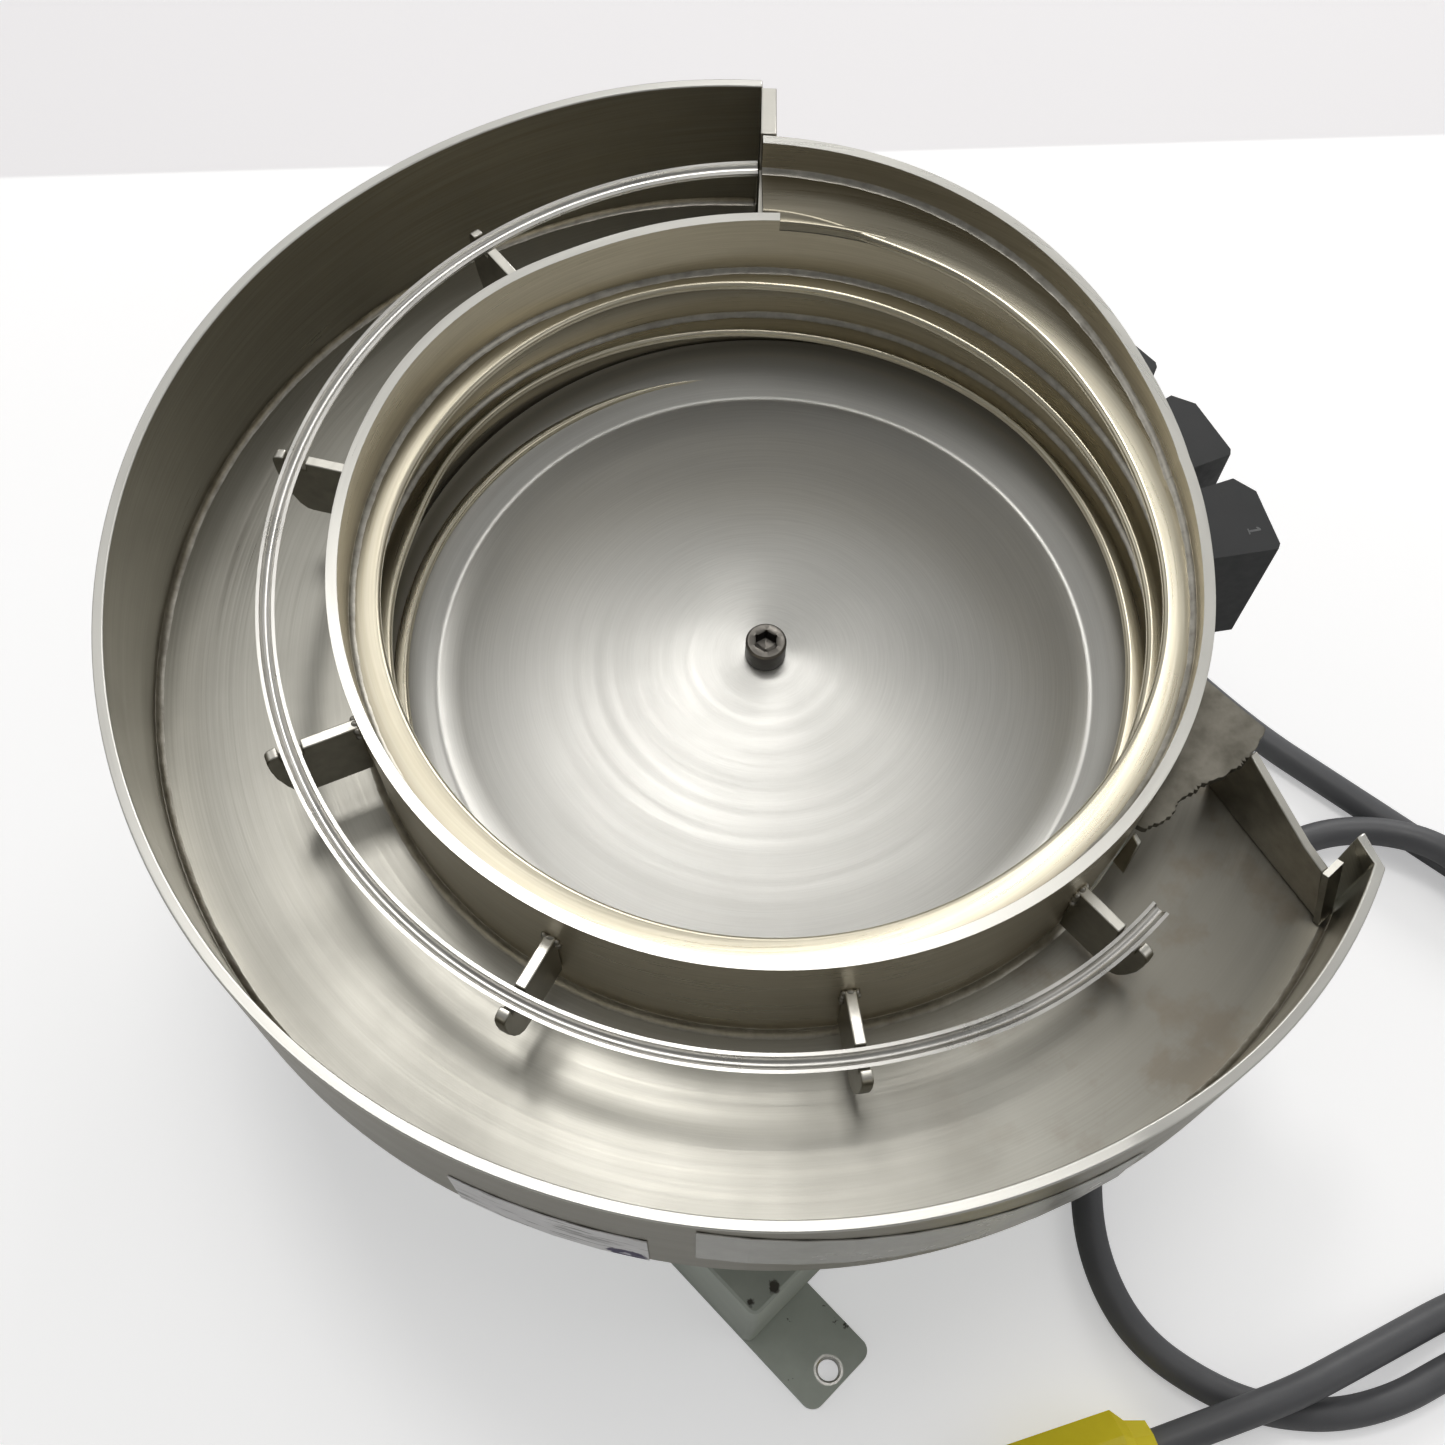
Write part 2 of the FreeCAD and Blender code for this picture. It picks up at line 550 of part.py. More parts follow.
# ---------------------------------------------------------------- top frame, armature, centre screw
hub_z = BOWL_APEX_Z - SHEET - GAP - slope * (HUB_R - 8.0)
prof = [V(0, 0, FRAME_Z - 7.5), V(BOSS_R, 0, FRAME_Z - 7.5), V(BOSS_R, 0, FRAME_Z), V(FRAME_R, 0, FRAME_Z),
        V(FRAME_R, 0, FRAME_Z + FRAME_T), V(HUB_R, 0, FRAME_Z + FRAME_T), V(HUB_R, 0, hub_z - 0.2),
        V(8.0, 0, BOWL_APEX_Z - SHEET - GAP), V(0, 0, BOWL_APEX_Z - SHEET - GAP)]
top_frame = Part.Face(Part.makePolygon(prof + [prof[0]])).revolve(V(0, 0, 0), V(0, 0, 1), 360)
top_frame = top_frame.cut(rod(SCREW_SHANK_R + GAP, V(0, 0, SCREW_END_Z - 1.5), V(0, 0, 120)))
arm_low = CORE_TOP_Z + AIR_GAP
arm_high = arm_low + ARMATURE_T
armature = box(-CORE_X / 2, CORE_X / 2, -CORE_Y / 2, CORE_Y / 2, arm_low, FRAME_Z - 7.5 - GAP)
arm_screws = []
for x in (-CORE_X / 4 - 4, CORE_X / 4 + 4):
    hole = rod(SCREW_R + GAP, V(x, 0, arm_low - 1), V(x, 0, FRAME_Z + 8))
    sink = Part.makeCone(5.0 + GAP, SCREW_R + GAP, 2.6, V(x, 0, arm_low))
    armature = armature.cut(hole).cut(sink)
    top_frame = top_frame.cut(turned(hole))
    head = Part.makeCone(5.0, SCREW_R, 2.6, V(x, 0, arm_low + 0.05))
    arm_screws.append(turned(head.fuse(rod(SCREW_R, V(x, 0, arm_low + 2.0), V(x, 0, FRAME_Z + 7)))))
save("armature", turned(armature))
save("armature_screws", arm_screws)
save("centre_screw", cap_screw(SCREW_HEAD_R, SCREW_HEAD_H, SCREW_SHANK_R, V(0, 0, BOWL_APEX_Z + 0.05),
                               V(0, 0, SCREW_END_Z)))

# ---------------------------------------------------------------- leaf springs and their clamps
def spring_place(shape, quarter):
    """From the spring's own axes (x outward, y through its thickness, z along it) to its place."""
    s = shape.copy()
    s.rotate(V(0, 0, 0), V(1, 0, 0), -SPRING_TILT)
    s.translate(V(SPRING_R, 0, SPRING_MID_Z))
    s.rotate(V(0, 0, 0), V(0, 0, 1), 90.0 * quarter + BASE_TURN)
    return s


w = SPRING_W / 2
grip = SPRING_HALF - 7.0
well_low = WELL_FLOOR_Z + GAP
frame_low = FRAME_Z - GAP
leaves = []
low_blocks = []
high_blocks = []
low_screws = []
high_screws = []
for q in range(4):
    keep_low = box(-200, 200, -200, 200, well_low, 60)
    keep_high = box(-200, 200, -200, 200, 30, frame_low)
    for y in (-0.2 - LEAF_T, 0.2):
        leaf = box(-w, w, y, y + LEAF_T, -SPRING_HALF, SPRING_HALF)
        for z in (-grip, grip):
            leaf = leaf.cut(rod(SCREW_R + GAP, V(0, -5, z), V(0, 5, z)))
        leaves.append(spring_place(leaf, q))
    y_seat = 0.2 + LEAF_T + GAP
    for sign, keep, blocks, bolts in ((-1, keep_low, low_blocks, low_screws), (1, keep_high, high_blocks, high_screws)):
        z_a, z_b = sorted((sign * (SPRING_HALF - 13.5), sign * (SPRING_HALF + 14.0)))
        hole = rod(SCREW_R + GAP, V(0, -20, sign * grip), V(0, 20, sign * grip))
        block = box(-w, w, -y_seat - 11.0, -y_seat, z_a, z_b).cut(hole)
        z_c, z_d = sorted((sign * (SPRING_HALF - 13.5), sign * SPRING_HALF))
        pad = box(-w, w, y_seat, y_seat + 3.0, z_c, z_d).cut(hole)
        blocks.append(spring_place(block, q).common(keep))
        blocks.append(spring_place(pad, q).common(keep))
        bolt = cap_screw(4.2, 4.5, SCREW_R, V(0, y_seat + 3.05, sign * grip), V(0, -y_seat - 9.0, sign * grip))
        bolts.append(spring_place(bolt, q))
save("leaf_springs", leaves)
save("lower_spring_clamps", low_blocks)
save("lower_clamp_screws", low_screws)
save("upper_spring_clamps", high_blocks)
save("upper_clamp_screws", high_screws)
save("top_frame", top_frame)

# ---------------------------------------------------------------- magnet
bracket = box(-34, 34, -CORE_Y / 2 - 4, CORE_Y / 2 + 4, well_low, well_low + 4.0)
core_low = well_low + 4.0 + GAP
core = box(-CORE_X / 2, CORE_X / 2, -CORE_Y / 2, CORE_Y / 2, core_low, CORE_TOP_Z)
for side_x in (-1, 1):
    x_a, x_b = sorted((side_x * CORE_X / 6, side_x * CORE_X / 3))
    core = core.cut(box(x_a, x_b, -50, 50, core_low + 13.0, CORE_TOP_Z + 1))
coil_low = core_low + 13.0 + GAP
coil_half = CORE_X / 3 - GAP
coil = box(-coil_half, coil_half, -CORE_Y / 2 - 8, CORE_Y / 2 + 8, coil_low, CORE_TOP_Z - 2.0)
coil = coil.makeFillet(3.0, [e for e in coil.Edges if abs(e.tangentAt(e.FirstParameter).z) > 0.9])
coil = coil.cut(box(-CORE_X / 6 - GAP, CORE_X / 6 + GAP, -CORE_Y / 2 - GAP, CORE_Y / 2 + GAP, coil_low - 1, 60))
magnet_screws = []
for x in (-29.0, 29.0):
    for y in (-13.0, 13.0):
        hole = rod(SCREW_R + GAP, V(x, y, WELL_FLOOR_Z - 5), V(x, y, 20))
        bracket = bracket.cut(hole)
        magnet_screws.append(turned(cap_screw(4.2, 4.5, SCREW_R, V(x, y, well_low + 4.05), V(x, y, WELL_FLOOR_Z - 4))))
save("magnet_bracket", turned(bracket))
save("magnet_core", turned(core))
save("magnet_coil", turned(coil))
save("magnet_screws", magnet_screws)

# ---------------------------------------------------------------- drive base
base_low = BAR_T + GAP
base = box(BASE_X0, BASE_X1, BASE_Y0, BASE_Y1, base_low, BASE_TOP_Z)
upright = [e for e in base.Edges if abs(e.tangentAt(e.FirstParameter).z) > 0.9]
base = base.makeFillet(BASE_EDGE_R, upright)
top_edges = [e for e in base.Edges if min(v.Z for v in e.Vertexes) > BASE_TOP_Z - 0.01]
base = base.makeChamfer(0.8, top_edges)
base = base.cut(rod(WELL_R, V(0, 0, WELL_FLOOR_Z), V(0, 0, BASE_TOP_Z + 1)))
for x in (-29.0, 29.0):
    for y in (-13.0, 13.0):
        base = base.cut(rod(SCREW_R + GAP, V(x, y, WELL_FLOOR_Z - 4.5), V(x, y, 20)))
bars = []
bar_screws = []
bar_x0 = BASE_X0 - BAR_OVER
bar_x1 = BASE_X1 + BAR_OVER
for y0, hole_y in ((BASE_Y0, BASE_Y0 + BAR_W - BAR_HOLE_SIDE), (BASE_Y1 - BAR_W, BASE_Y1 - BAR_HOLE_SIDE)):
    bar = box(bar_x0, bar_x1, y0, y0 + BAR_W, 0, BAR_T)
    bar = bar.makeFillet(BAR_CORNER_R, [e for e in bar.Edges if abs(e.tangentAt(e.FirstParameter).z) > 0.9])
    for x in (bar_x0 + BAR_HOLE_IN, bar_x1 - BAR_HOLE_IN):
        bar = bar.cut(rod(BAR_HOLE_R, V(x, hole_y, -1), V(x, hole_y, BAR_T + 1)))
        bar = bar.cut(Part.makeCone(BAR_HOLE_R, BAR_HOLE_R + 1.0, 1.0, V(x, hole_y, BAR_T - 0.6)))
    for x in (BASE_X0 + 20.0, BASE_X1 - 20.0):
        y = y0 + BAR_W / 2
        bar = bar.cut(Part.makeCone(6.0 + GAP, 3.0 + GAP, BAR_T, V(x, y, 0)))
        base = base.cut(rod(3.0 + GAP, V(x, y, 0), V(x, y, 17)))
        head = Part.makeCone(5.9, 3.0, BAR_T - 0.4, V(x, y, 0.3))
        bar_screws.append(turned(head.fuse(rod(3.0, V(x, y, 1.5), V(x, y, 15)))))
    bars.append(turned(bar))
save("base_housing", turned(base))
save("foot_bars", bars)
save("foot_bar_screws", bar_screws)

# ---------------------------------------------------------------- cord, gland and plug
gy = BASE_Y1 + GAP
hexagon = [V(GLAND_X + 10.0 * math.cos(math.radians(60 * k)), gy, GLAND_Z + 10.0 * math.sin(math.radians(60 * k)))
           for k in range(6)]
gland = plate(hexagon, 8.0, V(0, 1, 0))
gland = gland.fuse(rod(8.0, V(GLAND_X, gy + 7.0, GLAND_Z), V(GLAND_X, gy + GLAND_L - 0.5, GLAND_Z)))
save("cord_gland", turned(gland))
nose = turned(Part.Vertex(GLAND_X, gy + GLAND_L - 0.5, GLAND_Z)).Point
out = V(-math.sin(math.radians(BASE_TURN)), math.cos(math.radians(BASE_TURN)), 0)


def route_wire(points):
    """Straight runs joined by tangent arcs."""
    pieces = []
    here = points[0]
    small = 1e9
    for k in range(1, len(points) - 1):
        a3, b3, c3 = points[k - 1], points[k], points[k + 1]
        u = b3 - a3
        v = c3 - b3
        run = min(u.Length, v.Length)
        u.normalize()
        v.normalize()
        turn = math.acos(max(-1.0, min(1.0, u.dot(v))))
        if turn < 1e-4:
            continue
        t = 0.45 * run
        radius = t / math.tan(turn / 2)
        small = min(small, radius)
        p = b3 - u * t
        q3 = b3 + v * t
        way = v - u
        way.normalize()
        m = b3 + way * (radius / math.cos(turn / 2) - radius)
        pieces.append(Part.makeLine(here, p))
        pieces.append(Part.Arc(p, m, q3).toShape())
        here = q3
    pieces.append(Part.makeLine(here, points[-1]))
    return Part.Wire(pieces), small


route = [V(*p) for p in CORD_ROUTE]
route[0] = nose
route[1] = nose + out * 11.5
wire, tightest = route_wire(route)
ring_edge = Part.makeCircle(CORD_D / 2, route[0], route[1] - route[0])
pipe = Part.BRepOffsetAPI.MakePipeShell(wire)
pipe.setFrenetMode(False)
pipe.add(Part.Wire([ring_edge]))
pipe.build()
pipe.makeSolid()
cord = Part.Solid(pipe.shape()) if pipe.shape().ShapeType != "Solid" else pipe.shape()
print("cord length", round(wire.Length, 1), "tightest bend", round(tightest, 1), "volume ratio",
      round(cord.Volume / (math.pi * CORD_D ** 2 / 4 * wire.Length), 4))
save("power_cord", cord)
end = route[-1]
lead = end - route[-2]
lead.normalize()
flat = V(-lead.y, lead.x, 0)
flat.normalize()
up = lead.cross(flat)
if up.z < 0:
    up = up * -1


def plug_ring(dist, wide, tall):
    mid_p = end + lead * dist
    bevel = 0.28
    spots = ((-1, -1 + bevel * 2), (-1 + bevel * 2, -1), (1 - bevel * 2, -1), (1, -1 + bevel * 2),
             (1, 1 - bevel * 2), (1 - bevel * 2, 1), (-1 + bevel * 2, 1), (-1, 1 - bevel * 2))
    pts = [mid_p + flat * (sx * wide / 2) + up * (sz * tall / 2) for sx, sz in spots]
    return Part.makePolygon(pts + [pts[0]])


front = PLUG_L
rings = [plug_ring(0.0, 15.0, 15.0), plug_ring(6.0, 19.0, 18.0), plug_ring(9.0, PLUG_W, PLUG_TALL - 1),
         plug_ring(front, PLUG_W + 2, PLUG_TALL)]
plug = Part.makeLoft(rings, True, True)
save("plug_body", plug)
face_z = end + lead * (front + GAP)
blades = []
for s in (-6.35, 6.35):
    base_p = face_z + flat * (s - 0.75) - up * 0.2
    pts = [base_p, base_p + flat * 1.5, base_p + flat * 1.5 + up * 6.3, base_p + up * 6.3]
    blades.append(plate(pts, 17.5, lead))
save("plug_blades", blades)
pin_at = face_z - up * 7.5
save("plug_ground_pin", rod(2.4, pin_at, pin_at + lead * 20.0))
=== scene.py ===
# %% [markdown]
# # A vibratory bowl feeder
# Small parts are tipped into the stainless bowl. A magnet under it twists the bowl back and forth on
# leaf springs, and the parts walk up the ledge inside, out along the rail and over the outer pan.
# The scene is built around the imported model, so every piece takes its place from it.

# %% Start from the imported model
import bpy
import bmesh
import json
import math
from mathutils import Matrix, Vector


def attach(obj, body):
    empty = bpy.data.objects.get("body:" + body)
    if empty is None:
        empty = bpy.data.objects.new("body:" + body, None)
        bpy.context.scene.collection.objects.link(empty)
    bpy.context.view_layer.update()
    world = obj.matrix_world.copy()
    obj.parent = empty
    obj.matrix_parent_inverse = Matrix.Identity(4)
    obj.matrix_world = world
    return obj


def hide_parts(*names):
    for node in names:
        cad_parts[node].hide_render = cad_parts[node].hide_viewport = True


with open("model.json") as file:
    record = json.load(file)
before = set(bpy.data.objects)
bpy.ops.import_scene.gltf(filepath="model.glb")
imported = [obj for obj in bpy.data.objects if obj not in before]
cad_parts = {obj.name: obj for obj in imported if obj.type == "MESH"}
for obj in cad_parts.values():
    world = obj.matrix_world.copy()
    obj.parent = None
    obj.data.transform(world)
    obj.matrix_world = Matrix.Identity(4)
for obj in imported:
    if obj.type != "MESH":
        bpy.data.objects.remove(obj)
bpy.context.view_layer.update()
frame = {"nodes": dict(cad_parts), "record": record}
MM = 0.001

# %% [markdown]
# ## Sizes that several pieces share
# The bowl was rolled by hand, so its radius changes a little from place to place. Each table gives an
# outside radius in millimetres at an angle; 90 degrees is where the ledge ends. A smooth curve through
# the stations keeps the sheet from looking faceted.

# %% Stations round the bowl
SHEET = 3.0
GAP = 0.3           # clearance between two pieces
RIM_Z = 172.5
FOOT_Z = 101.0
FOOT_R = 115.5
APEX_Z = 112.0
CONE_DROP = 8.0
COVE_Z = 116.0      # top of the floor's turned-up edge
LEDGE_Z0 = 144.6    # ledge height at 0 degrees of its middle turn
PITCH = 21.5        # rise of the ledge in one turn
LIP_TOP = 183.0
PAN_Z = 120.4
PAN_FOOT = 114.0
PAN_RIM = 170.0
PAN_LOW = 150.0     # rim height where the pan wall ends
PLATE_Z = PAN_Z + GAP
RIM_R = {90: 112.9, 105: 112.9, 120: 113.8, 135: 116.5, 150: 117.6, 165: 117.2, 180: 116.7, 195: 116.6,
         210: 116.6, 225: 116.6, 240: 116.2, 255: 115.9, 270: 115.7, 285: 115.8, 300: 116.2, 315: 116.4,
         330: 116.2, 345: 115.5, 360: 114.5, 375: 114.5, 390: 113.9, 405: 113.4, 420: 113.0, 435: 112.9,
         450: 112.9}
LIP_R = {375: 114.5, 390: 117.0, 405: 121.7, 420: 126.6, 435: 130.3, 450: 132.3, 465: 133.4}
PAN_R = {90: 167.4, 105: 169.8, 120: 170.9, 135: 172.6, 150: 174.9, 165: 176.4, 180: 176.7, 195: 176.5,
         210: 176.2, 225: 176.0, 240: 175.5, 255: 174.7, 270: 174.7, 285: 174.7, 300: 174.7, 315: 175.2,
         330: 175.5, 345: 175.5}
RAIL_R = {90: 131.2, 105: 132.2, 120: 132.7, 135: 133.2, 180: 134.1, 210: 134.5, 240: 134.0, 270: 132.9,
          285: 132.7, 300: 133.5, 320: 133.6}
LOW_IN = {-630: 103.0, -585: 103.6, -540: 104.2, -495: 103.6, -450: 103.4, -405: 103.4, -360: 103.5,
          -330: 104.4, -315: 104.9, -285: 103.8, -270: 104.0}
MID_IN = {-270: 104.0, -255: 105.0, -240: 106.6, -225: 108.0, -210: 107.8, -195: 105.7, -180: 105.7,
          -135: 104.0, -90: 103.4, -45: 103.6, 0: 104.3, 45: 103.2, 90: 104.5}
TOP_IN = {90: 104.5, 105: 105.8, 120: 106.4, 150: 105.8, 180: 105.5, 210: 103.9, 240: 103.3, 285: 103.3,
          315: 103.3, 345: 104.0, 375: 102.5, 390: 102.9, 405: 104.9, 420: 107.0, 435: 108.7, 450: 113.4,
          465: 113.6}
LIP_TURN = 375.0
TRACK_END = 452.6
PAN_START = 92.2
PAN_END = 334.4
PAN_SLOPE_FROM = 300.0
TAB_AT = (130.0, 168.0, 205.5, 243.5, 280.7, 313.5)


def along(table, at):
    """Read a table with a smooth curve through its stations."""
    keys = sorted(table)
    if at <= keys[0]:
        return table[keys[0]]
    if at >= keys[-1]:
        return table[keys[-1]]
    k = max(i for i in range(len(keys) - 1) if keys[i] <= at)
    a, b = keys[k], keys[k + 1]
    before, after = keys[max(k - 1, 0)], keys[min(k + 2, len(keys) - 1)]
    lean_a = (table[b] - table[before]) / (b - before) * (b - a)
    lean_b = (table[after] - table[a]) / (after - a) * (b - a)
    t = (at - a) / (b - a)
    return ((2 * t ** 3 - 3 * t ** 2 + 1) * table[a] + (t ** 3 - 2 * t ** 2 + t) * lean_a
            + (3 * t ** 2 - 2 * t ** 3) * table[b] + (t ** 3 - t ** 2) * lean_b)


def polar(radius, deg, z):
    """A point in metres from a radius and height in millimetres."""
    a = math.radians(deg)
    return Vector((radius * math.cos(a) * MM, radius * math.sin(a) * MM, z * MM))


def ledge_z(deg):
    return LEDGE_Z0 + PITCH * deg / 360.0


def rim_z(deg):
    """The rim is level, then climbs along the lip."""
    return RIM_Z + 10.5 * max(0.0, (deg - 330.0) / 125.0)


def wall_r(deg, z):
    """Outside radius of the bowl wall, which leans out a little from foot to rim."""
    d = deg
    while d < 90.0:
        d += 360.0
    while d > 450.0:
        d -= 360.0
    up = min(1.0, max(0.0, (z - FOOT_Z) / (RIM_Z - FOOT_Z)))
    return FOOT_R + (along(RIM_R, d) - FOOT_R) * up


def pan_top(deg):
    fall = (deg - PAN_SLOPE_FROM) / (PAN_END - PAN_SLOPE_FROM)
    return PAN_RIM - (PAN_RIM - PAN_LOW) * min(1.0, max(0.0, fall))


def rail_z(deg):
    return 171.0 - 21.0 * (deg - 95.0) / 223.5


# %% [markdown]
# ## Helpers that turn rows of points into closed metal
# A rolled strip is the same small cross-section carried round the bowl. A row of corners is made every
# degree or so and joined to the next, with a cap at each end. A narrow bevel then breaks the edges, as
# a file does on real sheet, and gives every rim its bright line.

# %% Mesh helpers
def finish(obj, material, bevel=0.0, angle=35.0):
    """Smooth shading that keeps real corners, and an optional narrow bevel."""
    mesh = obj.data
    mesh.materials.clear()
    mesh.materials.append(material)
    if bevel:
        mod = obj.modifiers.new("edge", "BEVEL")
        mod.width = bevel * MM
        mod.segments = 2
        mod.limit_method = "ANGLE"
        mod.angle_limit = math.radians(angle)
    mesh.shade_smooth()
    mesh.set_sharp_from_angle(angle=math.radians(50.0 if bevel else angle))
    return obj


def link_object(name, data):
    obj = bpy.data.objects.new(name, data)
    bpy.context.collection.objects.link(obj)
    return obj


def new_object(name, verts, faces, material, bevel=0.0, angle=35.0):
    mesh = bpy.data.meshes.new(name)
    mesh.from_pydata([tuple(v) for v in verts], [], faces)
    bm = bmesh.new()
    bm.from_mesh(mesh)
    bmesh.ops.remove_doubles(bm, verts=bm.verts, dist=1e-7)
    bmesh.ops.recalc_face_normals(bm, faces=bm.faces)
    bm.to_mesh(mesh)
    bm.free()
    return finish(link_object(name, mesh), material, bevel, angle)


def from_rows(name, rows, material, bevel=0.0, angle=35.0, ring=False):
    """Join rows of corners; ring joins the last row to the first."""
    size = len(rows[0])
    verts = [p for row in rows for p in row]
    faces = []
    last = len(rows) if ring else len(rows) - 1
    for i in range(last):
        j = (i + 1) % len(rows)
        for k in range(size):
            n = (k + 1) % size
            faces.append((i * size + k, i * size + n, j * size + n, j * size + k))
    if not ring:
        faces.append(tuple(range(size)))
        faces.append(tuple(range(len(verts) - 1, len(verts) - size - 1, -1)))
    return new_object(name, verts, faces, material, bevel, angle)


def degrees(start, end, step=1.5):
    count = max(2, round((end - start) / step))
    return [start + (end - start) * i / count for i in range(count + 1)]


def evaluated_mesh(obj):
    """The mesh that an object's modifiers make."""
    bpy.context.view_layer.update()
    return bpy.data.meshes.new_from_object(obj.evaluated_get(bpy.context.evaluated_depsgraph_get()))


def sweep(name, start, end, section, material, bevel=0.0, step=1.5, angle=35.0):
    rows = [[polar(r, d, z) for r, z in section(d)] for d in degrees(start, end, step)]
    return from_rows(name, rows, material, bevel, angle)


def slab(name, outline, z0, z1, material, bevel=0.4):
    """A flat plate on an outline of (x, y) in millimetres."""
    rows = [[Vector((x * MM, y * MM, z * MM)) for x, y in outline] for z in (z0, z1)]
    return from_rows(name, rows, material, bevel)


def joined(name, objects):
    """Make several meshes one piece."""
    bm = bmesh.new()
    material = objects[0].data.materials[0]
    for obj in objects:
        bm.from_mesh(obj.data)
    mesh = bpy.data.meshes.new(name)
    bm.to_mesh(mesh)
    bm.free()
    for obj in objects:
        bpy.data.objects.remove(obj)
    return finish(link_object(name, mesh), material)


def dark_ends(obj, material):
    """A cut end that faces -X at the ledge's end gets a black, matt sheet of painted shadow."""
    obj.data.materials.append(material)
    for face in obj.data.polygons:
        if face.normal.x < -0.9 and face.center.y > 0.1 and face.center.x > -0.02:
            face.material_index = 1


def put(obj, body, *nodes):
    """Let a piece move with a body and stand for CAD nodes."""
    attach(obj, body)
    if nodes:
        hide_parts(*nodes)
    return obj


# %% [markdown]
# ## Helpers for materials
# A material is a small tree of nodes. Each helper adds one kind of node and hands back its output, so
# a recipe reads from the inside out. An input takes either another output or a plain number.

# %% Shader helpers
def nodes_of(material):
    material.use_nodes = True
    tree = material.node_tree
    return tree, tree.nodes["Principled BSDF"]


def feed(tree, socket, value):
    """Link an input to an output, or set its own constant."""
    if isinstance(value, bpy.types.NodeSocket):
        tree.links.new(value, socket)
    else:
        socket.default_value = value


def coords(tree):
    return tree.nodes.new("ShaderNodeTexCoord").outputs["Object"]


def surface_normal(tree):
    return tree.nodes.new("ShaderNodeNewGeometry").outputs["Normal"]


def is_camera_ray(tree):
    return tree.nodes.new("ShaderNodeLightPath").outputs["Is Camera Ray"]


def split(tree, vector):
    n = tree.nodes.new("ShaderNodeSeparateXYZ")
    tree.links.new(vector, n.inputs[0])
    return n.outputs["X"], n.outputs["Y"], n.outputs["Z"]


def combine(tree, *parts):
    n = tree.nodes.new("ShaderNodeCombineXYZ")
    for socket, part in zip(n.inputs, parts):
        feed(tree, socket, part)
    return n.outputs[0]


def maths(tree, op, *values):
    n = tree.nodes.new("ShaderNodeMath")
    n.operation = op
    for socket, value in zip(n.inputs, values):
        feed(tree, socket, value)
    return n.outputs[0]


def vectors(tree, op, *values):
    n = tree.nodes.new("ShaderNodeVectorMath")
    n.operation = op
    for socket, value in zip(n.inputs, values):
        feed(tree, socket, value)
    return n.outputs["Value" if op in ("LENGTH", "DISTANCE", "DOT_PRODUCT") else "Vector"]


def noise(tree, vector, scale, detail=3.0, rough=0.55):
    n = tree.nodes.new("ShaderNodeTexNoise")
    n.inputs["Scale"].default_value = scale
    n.inputs["Detail"].default_value = detail
    n.inputs["Roughness"].default_value = rough
    tree.links.new(vector, n.inputs["Vector"])
    return n.outputs["Fac"]


def spread(tree, value, low, high, a=0.3, b=0.7, kind="LINEAR"):
    """Carry a value from the range a to b over to the range low to high."""
    n = tree.nodes.new("ShaderNodeMapRange")
    n.interpolation_type = kind
    n.inputs["From Min"].default_value = a
    n.inputs["From Max"].default_value = b
    n.inputs["To Min"].default_value = low
    n.inputs["To Max"].default_value = high
    tree.links.new(value, n.inputs["Value"])
    return n.outputs["Result"]


def tint(tree, factor, first, second):
    """Mix two colours."""
    n = tree.nodes.new("ShaderNodeMix")
    n.data_type = "RGBA"
    feed(tree, n.inputs[0], factor)
    for socket, colour in ((n.inputs[6], first), (n.inputs[7], second)):
        feed(tree, socket, colour + (1.0,) if isinstance(colour, tuple) and len(colour) == 3 else colour)
    return n.outputs[2]


def blend(tree, factor, first, second):
    """Mix two numbers."""
    n = tree.nodes.new("ShaderNodeMix")
    n.data_type = "FLOAT"
    feed(tree, n.inputs[0], factor)
    feed(tree, n.inputs[2], first)
    feed(tree, n.inputs[3], second)
    return n.outputs[0]


def bump(tree, shader, height, depth):
    n = tree.nodes.new("ShaderNodeBump")
    n.inputs["Distance"].default_value = depth
    n.inputs["Strength"].default_value = 1.0
    tree.links.new(height, n.inputs["Height"])
    tree.links.new(n.outputs[0], shader.inputs["Normal"])


# %% [markdown]
# ## Table, light and camera
# Brushed steel shows whatever is round it, so the light matters more than the colour. Two lamps hang
# high behind the bowl, one in line with it and one to the left, and their reflections make the bright
# wedge on the cone. The room is darker in front and to the sides. The table is plain and pale, and the
# strip behind it is a shade darker where the wall begins.

# %% Table
TABLE_SLOPE = 0.0855     # the paper's back edge isn't quite square to the view
TABLE_EDGE = (0.3010, 0.3026)
TABLE_LIFT = 0.44        # extra brightness that only the camera sees
table_mat = bpy.data.materials.new("table_white")
tree, shader = nodes_of(table_mat)
x, y, z = split(tree, coords(tree))
behind = spread(tree, maths(tree, "MULTIPLY_ADD", x, -TABLE_SLOPE, y), 0.0, 1.0, *TABLE_EDGE)
pale = tint(tree, behind, (0.86, 0.86, 0.87), (0.70, 0.69, 0.705))
tree.links.new(pale, shader.inputs["Base Color"])
tree.links.new(pale, shader.inputs["Emission Color"])
tree.links.new(maths(tree, "MULTIPLY", is_camera_ray(tree), TABLE_LIFT), shader.inputs["Emission Strength"])
shader.inputs["Roughness"].default_value = 0.75
shader.inputs["Specular IOR Level"].default_value = 0.2
bpy.ops.mesh.primitive_plane_add(size=14.0, location=(0, 0, 0))
table = bpy.context.object
table.name = "table"
table.data.materials.append(table_mat)

